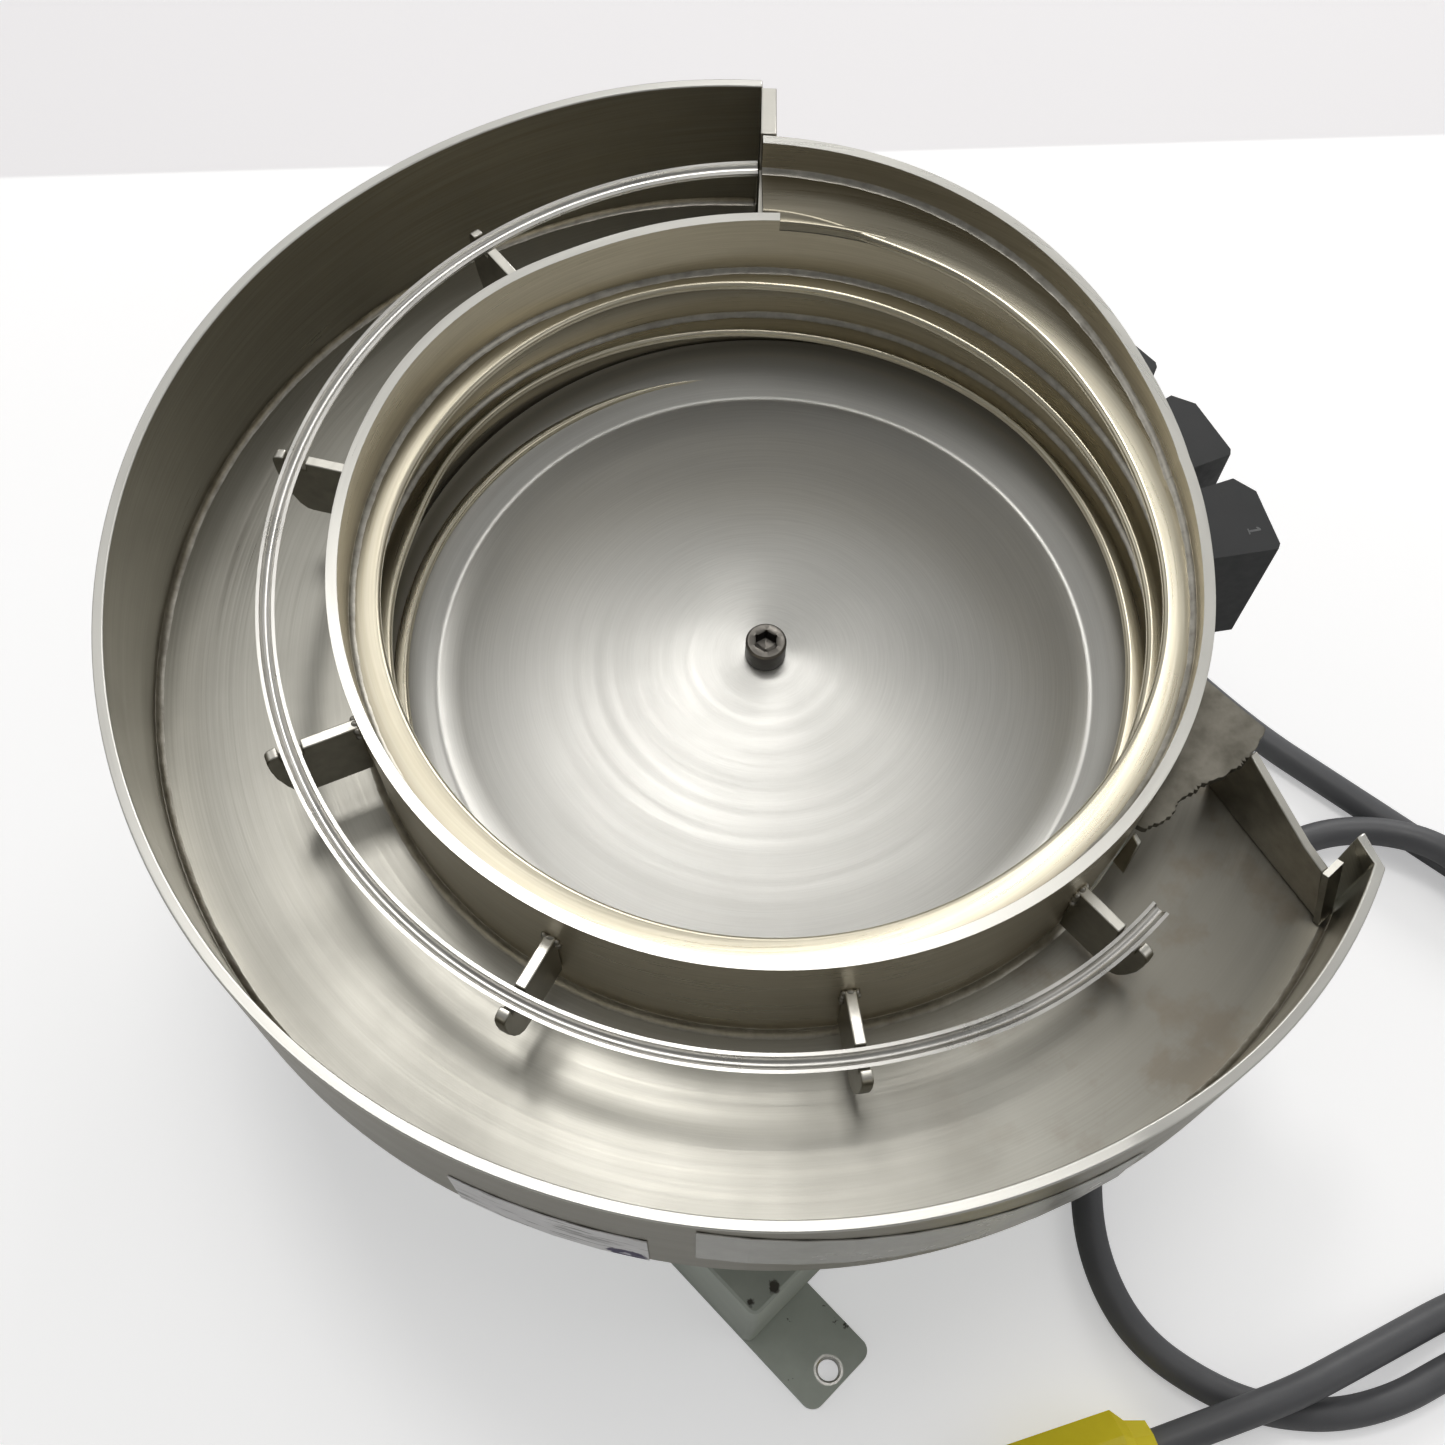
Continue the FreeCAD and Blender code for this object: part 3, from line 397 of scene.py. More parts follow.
# %% Lamps
world = bpy.data.worlds.new("studio")
bpy.context.scene.world = world
world.use_nodes = True
tree = world.node_tree
back = tree.nodes["Background"]
x, y, z = split(tree, tree.nodes.new("ShaderNodeTexCoord").outputs["Generated"])
height_level = spread(tree, z, 0.95, 0.46, -0.1, 0.9)
front_level = spread(tree, y, 0.34, 1.0, -0.75, 0.7)
flank_level = spread(tree, maths(tree, "ABSOLUTE", x), 1.15, 0.75, 0.06, 0.45, "SMOOTHSTEP")
level = maths(tree, "MULTIPLY", maths(tree, "MULTIPLY", height_level, front_level), flank_level)
tree.links.new(blend(tree, is_camera_ray(tree), level, 0.85), back.inputs["Strength"])
back.inputs["Color"].default_value = (1.0, 0.998, 0.975, 1)


def lamp(name, place, wide, deep, watts):
    """A soft lamp that points at the bowl."""
    data = bpy.data.lights.new(name, "AREA")
    data.shape = "RECTANGLE"
    data.size = wide
    data.size_y = deep
    data.energy = watts
    data.color = (1, 0.985, 0.96)
    obj = link_object(name, data)
    obj.location = place
    obj.rotation_euler = (Vector((0, 0, 0.1)) - Vector(place)).to_track_quat("-Z", "Y").to_euler()


lamp("overhead", (0.02, 0.30, 2.1), 0.34, 0.9, 5.5)
lamp("overhead_left", (-0.34, 0.62, 2.1), 0.35, 0.35, 5.6)
lamp("window_left", (-1.8, 0.5, 1.3), 1.0, 1.0, 2.5)
lamp("window_back", (0.55, 1.5, 1.0), 0.8, 0.6, 7)
lamp("room_right", (1.7, -0.6, 1.6), 1.0, 1.0, 2.5)

# %% Camera
camera = bpy.data.cameras.new("camera")
camera.sensor_width = 36.0
camera.lens = 42.85
eye = link_object("camera", camera)
eye.matrix_world = (Matrix.Translation((-0.0118, -0.2380, 0.5578))
                    @ Matrix.Rotation(math.radians(25.76), 4, "X")
                    @ Matrix.Rotation(math.radians(2.0), 4, "Z"))
bpy.context.scene.camera = eye
bpy.context.scene.view_settings.view_transform = "Standard"

# %% [markdown]
# ## Brushed steel
# Sheet that was turned on a lathe or rubbed with a pad has grain that runs round the axis. Grain makes
# a highlight spread across it, so the shader gets a tangent that points round the bowl. Fine noise that
# is stretched the same way varies the colour, the roughness and a very shallow bump. The steel isn't
# set fully metallic where a film of dust and oil makes it a little dull.

# %% Steel
def wall_painted_shade(tree, place, unit, normal):
    """How dark the wall's inside is painted: painted shade just under each turn of the ledge."""
    x, y, z = split(tree, place)
    theta = maths(tree, "ARCTAN2", y, x)
    turns = maths(tree, "DIVIDE", maths(tree, "SUBTRACT", z, LEDGE_Z0 * MM), PITCH * MM)
    turns = maths(tree, "SUBTRACT", turns, maths(tree, "DIVIDE", theta, 2 * math.pi))
    early = maths(tree, "LESS_THAN", theta, math.pi / 2)
    above = maths(tree, "SUBTRACT", turns, early)
    dark = spread(tree, maths(tree, "FRACT", above), 0.0, 1.0, 0.15, 0.8)
    dark = maths(tree, "MULTIPLY", dark, maths(tree, "LESS_THAN", above, 0.0))
    unshaded = maths(tree, "GREATER_THAN", above, -1.0)
    unshaded = maths(tree, "MULTIPLY", unshaded, spread(tree, theta, 0.0, 1.0, 0.0, 1.45))
    unshaded = maths(tree, "MULTIPLY", unshaded, early)
    dark = maths(tree, "MULTIPLY", dark, maths(tree, "SUBTRACT", 1.0, unshaded))
    inside = maths(tree, "LESS_THAN", vectors(tree, "DOT_PRODUCT", normal, unit), -0.3)
    return maths(tree, "MULTIPLY", dark, inside)


def pan_stain(tree, place, base):
    """The end of the pan, by the dam, is stained brown where parts and oil collect."""
    away = vectors(tree, "DISTANCE", place, (0.128, -0.078, 0.1204))
    base = tint(tree, spread(tree, away, 0.72, 0.0, 0.035, 0.085), base, (0.25, 0.235, 0.20))
    blot = spread(tree, noise(tree, place, 55.0, 4.0, 0.6), 0.0, 0.5, 0.5, 0.62)
    blot = maths(tree, "MULTIPLY", blot, spread(tree, away, 1.0, 0.0, 0.05, 0.11))
    return tint(tree, blot, base, (0.24, 0.20, 0.15))


def lit_rim(tree, normal, base, rim, start):
    """Faces that look up get a painted highlight: a lighter colour by how much they face up."""
    return tint(tree, spread(tree, split(tree, normal)[2], 0.0, 1.0, start, 0.7), base, rim)


# shade picks painted shade for the wall, floor and ledge, and the stain for the pan.
def round_steel(name, light, dark, rough, grain=1500.0, turn=2.6, aniso=0.75, smudge=0.5,
                depth=0.000006, rim=None, vary=0.03, shade="", metal=1.0):
    """Steel with grain that runs round the bowl's axis."""
    m = bpy.data.materials.new(name)
    tree, shader = nodes_of(m)
    place = coords(tree)
    x, y, z = split(tree, place)
    flat = combine(tree, x, y)
    unit = vectors(tree, "NORMALIZE", flat)
    radius = vectors(tree, "LENGTH", flat)
    way_x, way_y, way_z = split(tree, unit)
    across = maths(tree, "MULTIPLY", maths(tree, "ADD", radius, z), grain)
    lines = combine(tree, across, maths(tree, "MULTIPLY", way_x, turn), maths(tree, "MULTIPLY", way_y, turn))
    fine = noise(tree, lines, 1.0, 2.0)
    broad = noise(tree, place, 17.0, 4.0)
    rings = noise(tree, vectors(tree, "MULTIPLY", lines, (0.11, 0.11, 0.11)), 1.0, 2.0)
    normal = surface_normal(tree)
    base = tint(tree, spread(tree, fine, 0.0, 1.0), dark, light)
    base = tint(tree, spread(tree, broad, 0.0, smudge * 0.5, 0.42, 0.75), base, tuple(c * 0.72 for c in dark))
    # The wall's inside gets painted shade just under each turn of the ledge.
    if shade == "wall":
        base = tint(tree, wall_painted_shade(tree, place, unit, normal), base, (0.045, 0.04, 0.03))
    # The floor's turned-up edge gets painted shade, for the shadow under the lowest turn of the ledge.
    if shade == "floor":
        base = tint(tree, spread(tree, radius, 0.0, 1.0, 0.100, 0.110), base, (0.16, 0.147, 0.115))
    if shade == "pan":
        base = pan_stain(tree, place, base)
    # The ledge gets painted shade towards its root, in the crease where it meets the wall.
    if shade == "ledge":
        base = tint(tree, spread(tree, radius, 0.0, 0.75, 0.1065, 0.112), base, (0.08, 0.07, 0.05))
    # Faces that look up get the rim colour as a painted highlight.
    if rim:
        base = lit_rim(tree, normal, base, rim, 0.35)
    tree.links.new(base, shader.inputs["Base Color"])
    uneven = maths(tree, "ADD", spread(tree, broad, -0.04, 0.07 * smudge), spread(tree, rings, -vary, vary))
    uneven = maths(tree, "ADD", spread(tree, fine, rough - vary, rough + vary), uneven)
    tree.links.new(uneven, shader.inputs["Roughness"])
    shader.inputs["Metallic"].default_value = metal
    shader.inputs["Anisotropic"].default_value = aniso
    tree.links.new(vectors(tree, "CROSS_PRODUCT", (0, 0, 1), unit), shader.inputs["Tangent"])
    bump(tree, shader, maths(tree, "ADD", fine, rings), depth)
    return m


def plain_metal(name, light, dark, rough, scale=120.0, metallic=1.0, depth=0.00006, rim=None):
    """A worked metal or a coat of paint with an even, fine mottle."""
    m = bpy.data.materials.new(name)
    tree, shader = nodes_of(m)
    place = coords(tree)
    fine = noise(tree, place, scale, 4.0, 0.6)
    broad = noise(tree, place, scale * 0.14, 3.0)
    base = tint(tree, spread(tree, fine, 0.0, 1.0), dark, light)
    base = tint(tree, spread(tree, broad, 0.0, 0.4, 0.45, 0.75), base, tuple(c * 0.7 for c in dark))
    # Faces that look up get the rim colour as a painted highlight.
    if rim:
        base = lit_rim(tree, surface_normal(tree), base, rim, 0.3)
    tree.links.new(base, shader.inputs["Base Color"])
    tree.links.new(spread(tree, fine, rough - 0.06, rough + 0.08), shader.inputs["Roughness"])
    shader.inputs["Metallic"].default_value = metallic
    if depth:
        bump(tree, shader, fine, depth)
    return m


steel_floor = round_steel("spun_floor_steel", (0.82, 0.815, 0.785), (0.75, 0.745, 0.715), 0.46,
                          grain=3200.0, aniso=0.88, smudge=0.25, shade="floor", metal=0.66, depth=0.0000015)
# The wall's light, warm colour is partly the steel's own and partly painted reflection of the bright floor that the
# wall's inside faces.
steel_wall = round_steel("rolled_wall_steel", (0.76, 0.69, 0.54), (0.65, 0.585, 0.44), 0.32,
                         aniso=0.6, turn=4.0, shade="wall", rim=(0.70, 0.69, 0.65), metal=0.8)
steel_pan = round_steel("pan_floor_steel", (0.46, 0.45, 0.41), (0.40, 0.39, 0.35), 0.36,
                        grain=2200.0, aniso=0.6, smudge=0.9, shade="pan", metal=0.88)
steel_pan_wall = round_steel("pan_wall_steel", (0.37, 0.35, 0.29), (0.30, 0.28, 0.225), 0.34,
                             grain=1400.0, aniso=0.5, turn=4.0, rim=(0.76, 0.75, 0.71), metal=0.85)
steel_ledge = round_steel("ledge_steel", (0.76, 0.71, 0.58), (0.64, 0.59, 0.46), 0.30, aniso=0.5, shade="ledge")
steel_rail = plain_metal("rail_steel", (0.62, 0.61, 0.585), (0.55, 0.54, 0.515), 0.30, 60.0, depth=0.0)
steel_plate = plain_metal("plate_steel", (0.44, 0.42, 0.365), (0.31, 0.295, 0.25), 0.36, 220.0,
                          rim=(0.74, 0.72, 0.66))
# A dark plate colour that is painted shade, for the gusset shelf.
dark_plate = plain_metal("stained_plate", (0.26, 0.245, 0.21), (0.15, 0.14, 0.115), 0.40, 160.0)
# A black, matt material with no reflection: painted shadow for the cut ends that face -X.
shadow_plate = plain_metal("grimy_plate", (0.05, 0.045, 0.035), (0.03, 0.027, 0.02), 0.9, 160.0,
                           metallic=0.0, depth=0.0)
shadow_plate.node_tree.nodes["Principled BSDF"].inputs["Specular IOR Level"].default_value = 0.0
steel_weld = plain_metal("weld_steel", (0.52, 0.50, 0.45), (0.33, 0.31, 0.27), 0.34, 300.0, depth=0.0001)

# %% [markdown]
# ## The dished floor
# The bottom of the bowl is one spun disc: a very shallow cone so parts slide outward, turned up at the
# edge. A profile carried once round the axis makes it, closed top and bottom like real sheet.

# %% Bowl floor
def lathe(name, profile, material, count=180):
    """Carry a closed (radius, z) profile once round the axis."""
    rows = [[polar(r, 360.0 * i / count, z) for r, z in profile] for i in range(count)]
    return from_rows(name, rows, material, ring=True)


low = APEX_Z - CONE_DROP
edge_r = min(wall_r(d, COVE_Z) for d in range(90, 450, 5)) - SHEET - 2 * GAP
top = [(4.3, APEX_Z), (8.0, APEX_Z), (30.0, APEX_Z - 1.9), (60.0, APEX_Z - 4.6), (90.0, APEX_Z - 7.3),
       (96.0, low - 0.12)]
cove = [(97.0, low + 0.02), (97.6, low + 0.16), (98.2, low + 0.42), (100.0, low + 1.35), (102.5, low + 2.75),
        (105.0, low + 4.6), (107.0, low + 6.7), (108.6, low + 9.0), (edge_r - 1.3, low + 11.0), (edge_r, COVE_Z)]
under = [(edge_r, 105.2), (edge_r - 2.5, 102.6), (103.0, 101.2), (97.0, 101.1), (60.0, APEX_Z - 7.6),
         (8.0, APEX_Z - SHEET), (4.3, APEX_Z - SHEET)]
put(lathe("bowl_floor_sheet", top + cove + under, steel_floor), "bowl", "bowl_floor")

# %% [markdown]
# ## Wall and lip
# One strip makes the wall. Where the last turn of the ledge widens, the strip leaves the round wall
# and spirals outward as a lip, while a lower wall goes on under the ledge. A window in the wall lets
# parts slide back inside, so it is cut with a Boolean before the edges are broken.

# %% Wall
def wall_corners(deg, lip):
    if lip:
        r = along(LIP_R, deg)
        z0 = ledge_z(deg) - SHEET
        return [(r - SHEET, z0), (r, z0), (r, rim_z(deg)), (r - SHEET, rim_z(deg))]
    top_z = rim_z(deg)
    r0, r1 = wall_r(deg, FOOT_Z), wall_r(deg, top_z)
    return [(r0 - SHEET, FOOT_Z), (r0, FOOT_Z), (r1, top_z), (r1 - SHEET, top_z)]


rows = [[polar(r, d, z) for r, z in wall_corners(d, False)] for d in degrees(90.1, LIP_TURN)]
rows += [[polar(r, d, z) for r, z in wall_corners(d, True)] for d in degrees(LIP_TURN, TRACK_END)]
wall = from_rows("bowl_wall_and_lip", rows, steel_wall)
WINDOW = ((104, PLATE_Z), (125, PLATE_Z), (125, 138.3), (104, 138.3))
window = sweep("window", 319.0, 343.0, lambda deg: WINDOW, steel_wall, step=2.0)
cut = wall.modifiers.new("window", "BOOLEAN")
cut.object = window
cut.operation = "DIFFERENCE"
cut.solver = "EXACT"
mesh = evaluated_mesh(wall)
wall.modifiers.clear()
wall.data = mesh
bpy.data.objects.remove(window)
finish(wall, steel_wall, 0.45)
dark_ends(wall, shadow_plate)
put(wall, "bowl", "bowl_wall", "lip_wall")


def lower_wall_corners(deg):
    z1 = ledge_z(deg) - SHEET - GAP
    r0, r1 = wall_r(deg, FOOT_Z), wall_r(deg, z1)
    return [(r0 - SHEET, FOOT_Z), (r0, FOOT_Z), (r1, z1), (r1 - SHEET, z1)]


put(sweep("lower_wall", LIP_TURN - 0.05, 450.2, lower_wall_corners, steel_wall), "bowl")

# %% [markdown]
# ## The spiral ledge
# The ledge is three flat rings, each cut once, pulled into a turn of a spiral and welded to the wall
# and to each other. The inner edge is rounded smooth so parts drop cleanly back into the bowl. A small
# weld fillet runs along the root.

# %% Ledge
def cove_r(z):
    """Radius of the floor's turned-up edge at a height."""
    table = {104.7: 102.0, 107.0: 106.0, 112.0: edge_r - 3.0, COVE_Z: edge_r - 0.8, COVE_Z + 0.5: 200.0}
    keys = sorted(table)
    if z <= keys[0]:
        return table[keys[0]]
    for a, b in zip(keys, keys[1:]):
        if z <= b:
            return table[a] + (table[b] - table[a]) * (z - a) / (b - a)
    return 200.0


def ledge_corners(inner):
    def at(deg):
        z = ledge_z(deg)
        r_in = along(inner, deg)
        low_z = max(z - SHEET, 105.9)
        half = (z - low_z) / 2
        if deg > LIP_TURN:
            r = r_low = along(LIP_R, deg) - SHEET - GAP
        else:
            r = wall_r(deg, z) - SHEET - GAP
            if low_z < COVE_Z:
                r = min(r, cove_r(min(z, COVE_Z)) - 0.4)
            r_low = min(r, cove_r(low_z) - 0.4)
        bead = []
        for k in range(7):
            a = math.radians(90.0 + 30.0 * k)
            bead.append((r_in + half + half * math.cos(a), z - half + half * math.sin(a)))
        return bead + [(max(r_low, r_in + half + 0.2), low_z), (max(r, r_in + half + 0.3), z)]
    return at


turns = (("ledge_turn_1", -630.0, -269.95, LOW_IN), ("ledge_turn_2", -270.05, 90.05, MID_IN),
         ("ledge_turn_3", 89.95, TRACK_END, TOP_IN))
for name, first, last, inner in turns:
    piece = sweep(name + "_strip", first, last, ledge_corners(inner), steel_ledge)
    dark_ends(piece, shadow_plate)
    put(piece, "bowl", name)


def root_weld(name, first, last, wall_at, foot_at, size, side=-1):
    """A concave fillet between a wall and a flat; side -1 is inside the wall, 1 outside."""
    rows = []
    for i, deg in enumerate(degrees(first, last, 1.0)):
        r, z = wall_at(deg), foot_at(deg)
        s = size + 0.07 * math.sin(i * 2.4) + 0.08 * math.sin(i * 0.73)
        pts = ((r - side * 0.2, z - 0.2), (r + side * s, z - 0.2), (r + side * s, z + 0.05),
               (r + side * s * 0.38, z + s * 0.30), (r + side * 0.05, z + s * 0.95), (r - side * 0.2, z + s * 0.95))
        rows.append([polar(pr, deg, pz) for pr, pz in pts])
    return put(from_rows(name, rows, steel_weld, angle=60.0), "bowl")


for k, (first, last) in enumerate(((-470.0, -270.0), (-270.0, 90.0), (90.0, LIP_TURN))):
    root_weld("ledge_weld_%d" % (k + 1), first, last, lambda d: wall_r(d, ledge_z(d)) - SHEET, ledge_z, 1.5)
root_weld("lip_weld", LIP_TURN, TRACK_END, lambda d: along(LIP_R, d) - SHEET, ledge_z, 1.6)

# %% [markdown]
# ## The return pan
# Parts that fall off the rail land on a flat pan and travel round to the window. The pan is a flat
# crescent with a rolled wall. At its far end the wall slopes down and is bent in, and two plates close
# the end as a dam.

# %% Pan
END_N = Vector((0.8331, 0.5531))     # square to the dam
END_T = Vector((0.5531, -0.8331))    # along the dam
DAM_T = 2.4


def dam(s, off=0.0):
    p = END_N * (80.5 + off) + END_T * s
    return (p.x, p.y)


def flat_polar(radius, deg):
    """A plan point in millimetres."""
    return tuple(polar(radius, deg, 0).xy / MM)


def pan_inside(deg):
    return flat_polar(along(PAN_R, deg) - SHEET - GAP, deg)


outline = [flat_polar(wall_r(d, PAN_Z) + GAP, d) for d in degrees(PAN_START, 341.0)]
outline += [dam(101.5, DAM_T), dam(125.0, DAM_T), dam(148.0, DAM_T)]
outline += [pan_inside(d) for d in reversed(degrees(318.0, 334.0, 2.0))]
outline += [pan_inside(d) for d in reversed(degrees(PAN_START, 317.0))]
put(slab("pan_floor_sheet", outline, PAN_Z - SHEET, PAN_Z, steel_pan, 0.0), "bowl", "pan_floor")


def pan_corners(deg):
    r = along(PAN_R, deg)
    return [(r - SHEET, PAN_FOOT), (r, PAN_FOOT), (r, pan_top(deg)), (r - SHEET, pan_top(deg))]


rows = [[polar(r, d, z) for r, z in pan_corners(d)] for d in degrees(PAN_START, PAN_END)]
tip_in, tip_out = (151.9, -67.6), (154.1, -66.0)
rows.append([Vector(p) * MM for p in (tip_in + (PAN_FOOT,), tip_out + (PAN_FOOT,), tip_out + (PAN_LOW,),
                                      tip_in + (PAN_LOW,))])
put(from_rows("pan_wall_strip", rows, steel_pan_wall, 0.45), "bowl", "pan_wall")
root_weld("pan_inner_weld", PAN_START + 0.4, 317.0, lambda d: wall_r(d, PAN_Z) + 0.1, lambda d: PAN_Z, 2.2, side=1)
root_weld("pan_outer_weld", PAN_START + 0.4, 333.0, lambda d: along(PAN_R, d) - SHEET, lambda d: PAN_Z, 1.8)


def upright(name, points, shift, material, bevel=0.4, *nodes):
    """A plate given by corner points in millimetres and the vector of its thickness."""
    a = [Vector(p) * MM for p in points]
    b = [p + Vector(shift) * MM for p in a]
    return put(from_rows(name, [a, b], material, bevel), "bowl", *nodes)


y_in = wall_r(91.5, PLATE_Z) + GAP
y_lip = along(LIP_R, 452.0) + GAP
y_out = along(PAN_R, 91.0) - SHEET - GAP
under_z = ledge_z(452.0) - SHEET - GAP
side = ((y_in, PLATE_Z), (y_out, PLATE_Z), (y_out, PAN_RIM), (y_lip + 0.2, LIP_TOP), (y_lip, under_z), (y_in, under_z))
start_plate = upright("start_plate", [(-6.7, y, z) for y, z in side], (4.7, 0, 0), steel_plate, 0.4, "pan_start_plate")
dark_ends(start_plate, shadow_plate)
long_plate = [dam(s) + (z,) for s, z in ((102.3, PLATE_Z), (149.0, PLATE_Z), (141.8, 140.0), (134.0, 141.0),
                                         (107.9, PAN_LOW))]
upright("end_plate_long_sheet", long_plate, (END_N.x * DAM_T, END_N.y * DAM_T, 0), steel_plate, 0.35, "end_plate_long")

# %% [markdown]
# ## Where the wall passes into the last turn
# The last turn starts a little outside the wall's rim. A wedge of weld fills the corner between them and
# is ground level with the ledge, so parts don't drop through.

# %% Root wedge
def wedge_corners(deg):
    top = ledge_z(deg + 360.0)
    near = wall_r(deg, top - SHEET) - SHEET + 0.05
    far = max(along(TOP_IN, deg + 360.0) + 0.8, near + 1.5)
    return [(near, top - SHEET), (far, top - SHEET), (far, top + 0.03), (near + 0.7, top + 0.03),
            (near + 0.2, top - 0.2), (near, top - 0.7)]


put(sweep("root_wedge", 74.0, 90.4, wedge_corners, steel_ledge, 0.0, 1.5, 50.0), "bowl")

# %% [markdown]
# ## Guide rail and tabs
# The rail is a half-round channel bent to a falling spiral. Six small plates on edge carry it from the
# wall. Each has a notch for the rail and a rounded nose outside it.

# %% Rail
RAIL_OUT, RAIL_IN = 2.5, 1.6     # outside and inside radius of the channel
TAB_OUT = 6.6                    # how far a tab reaches past the rail's middle
TAB_ROUND = 2.6
# How far the nose of a tab sits in from its end, and how far down, as it curves back to the wall.
TAB_NOSE = ((0.0, 6.0), (0.5, 11.0), (2.0, 17.0), (3.8, 21.5), (5.6, 23.6), (7.5, 24.0))


def arc(r, z, size, start, step, count):
    """Points on part of a circle in the plane of radius and height."""
    turns = [math.radians(start + step * k) for k in range(count)]
    return [(r + size * math.cos(a), z + size * math.sin(a)) for a in turns]


def across(deg):
    """One millimetre sideways at an angle round the bowl."""
    return Vector((-math.sin(math.radians(deg)), math.cos(math.radians(deg)), 0)) * MM


def rail_corners(deg):
    r, z = along(RAIL_R, deg), rail_z(deg)
    return arc(r, z, RAIL_OUT, 180, 22.5, 9) + arc(r, z, RAIL_IN, 360, -22.5, 9)


put(sweep("rail_channel", 93.1, 318.5, rail_corners, steel_rail, 0.0, 1.0, 50.0), "bowl", "guide_rail")
tabs = []
for deg in TAB_AT:
    z, r = rail_z(deg), along(RAIL_R, deg)
    foot, far = wall_r(deg, z - 12.0) + 0.2, r + TAB_OUT
    pts = [(foot, z), (r - 3.1, z), (r - 2.9, z - 3.0), (r + 2.9, z - 3.0), (r + 3.1, z + 0.6)]
    pts += arc(far - TAB_ROUND, z - 2.0, TAB_ROUND, 90, -22.5, 5)
    pts += [(far - back, z - down) for back, down in TAB_NOSE]
    pts.append((foot, z - TAB_NOSE[-1][1]))
    half = across(deg) * (SHEET / 2)
    tabs.append(from_rows("tab", [[polar(pr, deg, pz) + s for pr, pz in pts] for s in (-half, half)], steel_plate))
tab_piece = joined("rail_tab_plates", tabs)
finish(tab_piece, steel_plate, 0.35)
put(tab_piece, "bowl", "rail_tabs")

# %% [markdown]
# ## Gusset, small tab and centre screw
# A scrap of plate ties the bowl's wall to the dam. It was cut by torch, so its edge is ragged. The
# centre screw is a blackened cap screw: a round head with a six-sided socket.

# %% Gusset and tab
SHELF_Z = (150.3, 152.8)
torch_edge = ((130.8, -38.7), (128.1, -44.0), (125.4, -47.3), (123.9, -48.7), (123.2, -49.6), (121.4, -50.8),
              (120.7, -51.2), (118.0, -53.0), (114.5, -54.7), (112.0, -55.9), (110.6, -57.3), (108.3, -58.6),
              (106.2, -60.2), (105.6, -62.0), (103.6, -64.5), (101.2, -66.4), (98.8, -67.6), (96.4, -68.4))
edge = []
for k, (a, b) in enumerate(zip(torch_edge, torch_edge[1:])):
    for t in (0.0, 0.34, 0.67):
        w = 0.28 * math.sin(k * 3.7 + t * 9.0) + 0.16 * math.sin(k * 8.1 + t * 5.0)
        edge.append((a[0] + (b[0] - a[0]) * t + w, a[1] + (b[1] - a[1]) * t - w))
edge.append(torch_edge[-1])
inner = [flat_polar(wall_r(d, SHELF_Z[0]) + GAP, d) for d in (324.5, 329, 334, 339, 344, 349)]
# The gusset's dark colour is painted shade.
put(slab("gusset_plate", inner + edge, *SHELF_Z, dark_plate, 0.4), "bowl", "gusset_shelf")
nub = [tuple(polar(r, d, z) / MM) for r, d, z in ((116.4, 321.4, 140.0), (120.6, 320.6, 141.5),
                                                  (119.6, 323.0, 150.0), (117.0, 323.6, 150.2))]
upright("gusset_nub", nub, (0.9, 1.1, 0.0), steel_plate, 0.3)


# %% Centre screw
def hexagon_r(a, flat):
    """Radius of a six-sided hole across its flats at an angle."""
    return flat / 2 / math.cos((a + math.pi / 6) % (math.pi / 3) - math.pi / 6)


def cap_screw(name, seat, radius, tall, flat, deep, shank, tip):
    """A socket cap screw on the axis: seat is the underside of its head, tip the end of its shank."""
    top = seat + tall
    outside = ((shank, tip), (shank, seat), (radius - 0.15, seat), (radius, seat + 0.3), (radius, top - 0.6),
               (radius - 0.6, top))
    rows = []
    for i in range(72):
        a = 2 * math.pi * i / 72
        hexagon = hexagon_r(a, flat)
        socket = ((flat / 2 + 0.65, top), (hexagon, top - 0.35), (hexagon, top - deep),
                  (0.05, top - deep - 0.7), (0.05, tip))
        rows.append([polar(r, 360.0 * i / 72, z) for r, z in outside + socket])
    return from_rows(name, rows, screw_black, 0.0, 40.0, ring=True)


screw_black = plain_metal("screw_black", (0.085, 0.078, 0.07), (0.05, 0.045, 0.04), 0.34, 500.0, metallic=0.85,
                          rim=(0.16, 0.15, 0.135))
put(cap_screw("centre_cap_screw", 112.05, 5.95, 8.0, 6.0, 4.6, 3.95, 84.0), "bowl", "centre_screw")

# %% [markdown]
# ## Numeral on a weight
# The blocks carry a stamped number so the same ones go back in the same place. It is filled with grey.

# %% Numeral
numeral = plain_metal("numeral_grey", (0.16, 0.165, 0.17), (0.11, 0.115, 0.12), 0.5, 300.0, metallic=0.0)


def on_block(u, v):
    """u runs outward and v across, in millimetres from the numeral's middle."""
    a = math.radians(14.8)
    r = 147.6 + u
    return (r * math.cos(a) - v * math.sin(a), r * math.sin(a) + v * math.cos(a))


one = ((-2.0, -1.0), (-1.6, -1.0), (-1.6, -0.35), (1.9, -0.35), (1.9, 0.35), (1.1, 1.1), (0.7, 0.9),
       (1.1, 0.35), (-1.6, 0.35), (-1.6, 1.0), (-2.0, 1.0))
put(slab("weight_numeral", [on_block(u, v) for u, v in one], 128.9, 129.03, numeral, 0.0), "bowl")

# %% [markdown]
# ## Weld nuggets
# Each tab is held by a few spots of weld. They are the same small bead many times, so Geometry Nodes
# puts one on every point of a list, each a little larger or smaller than the last.

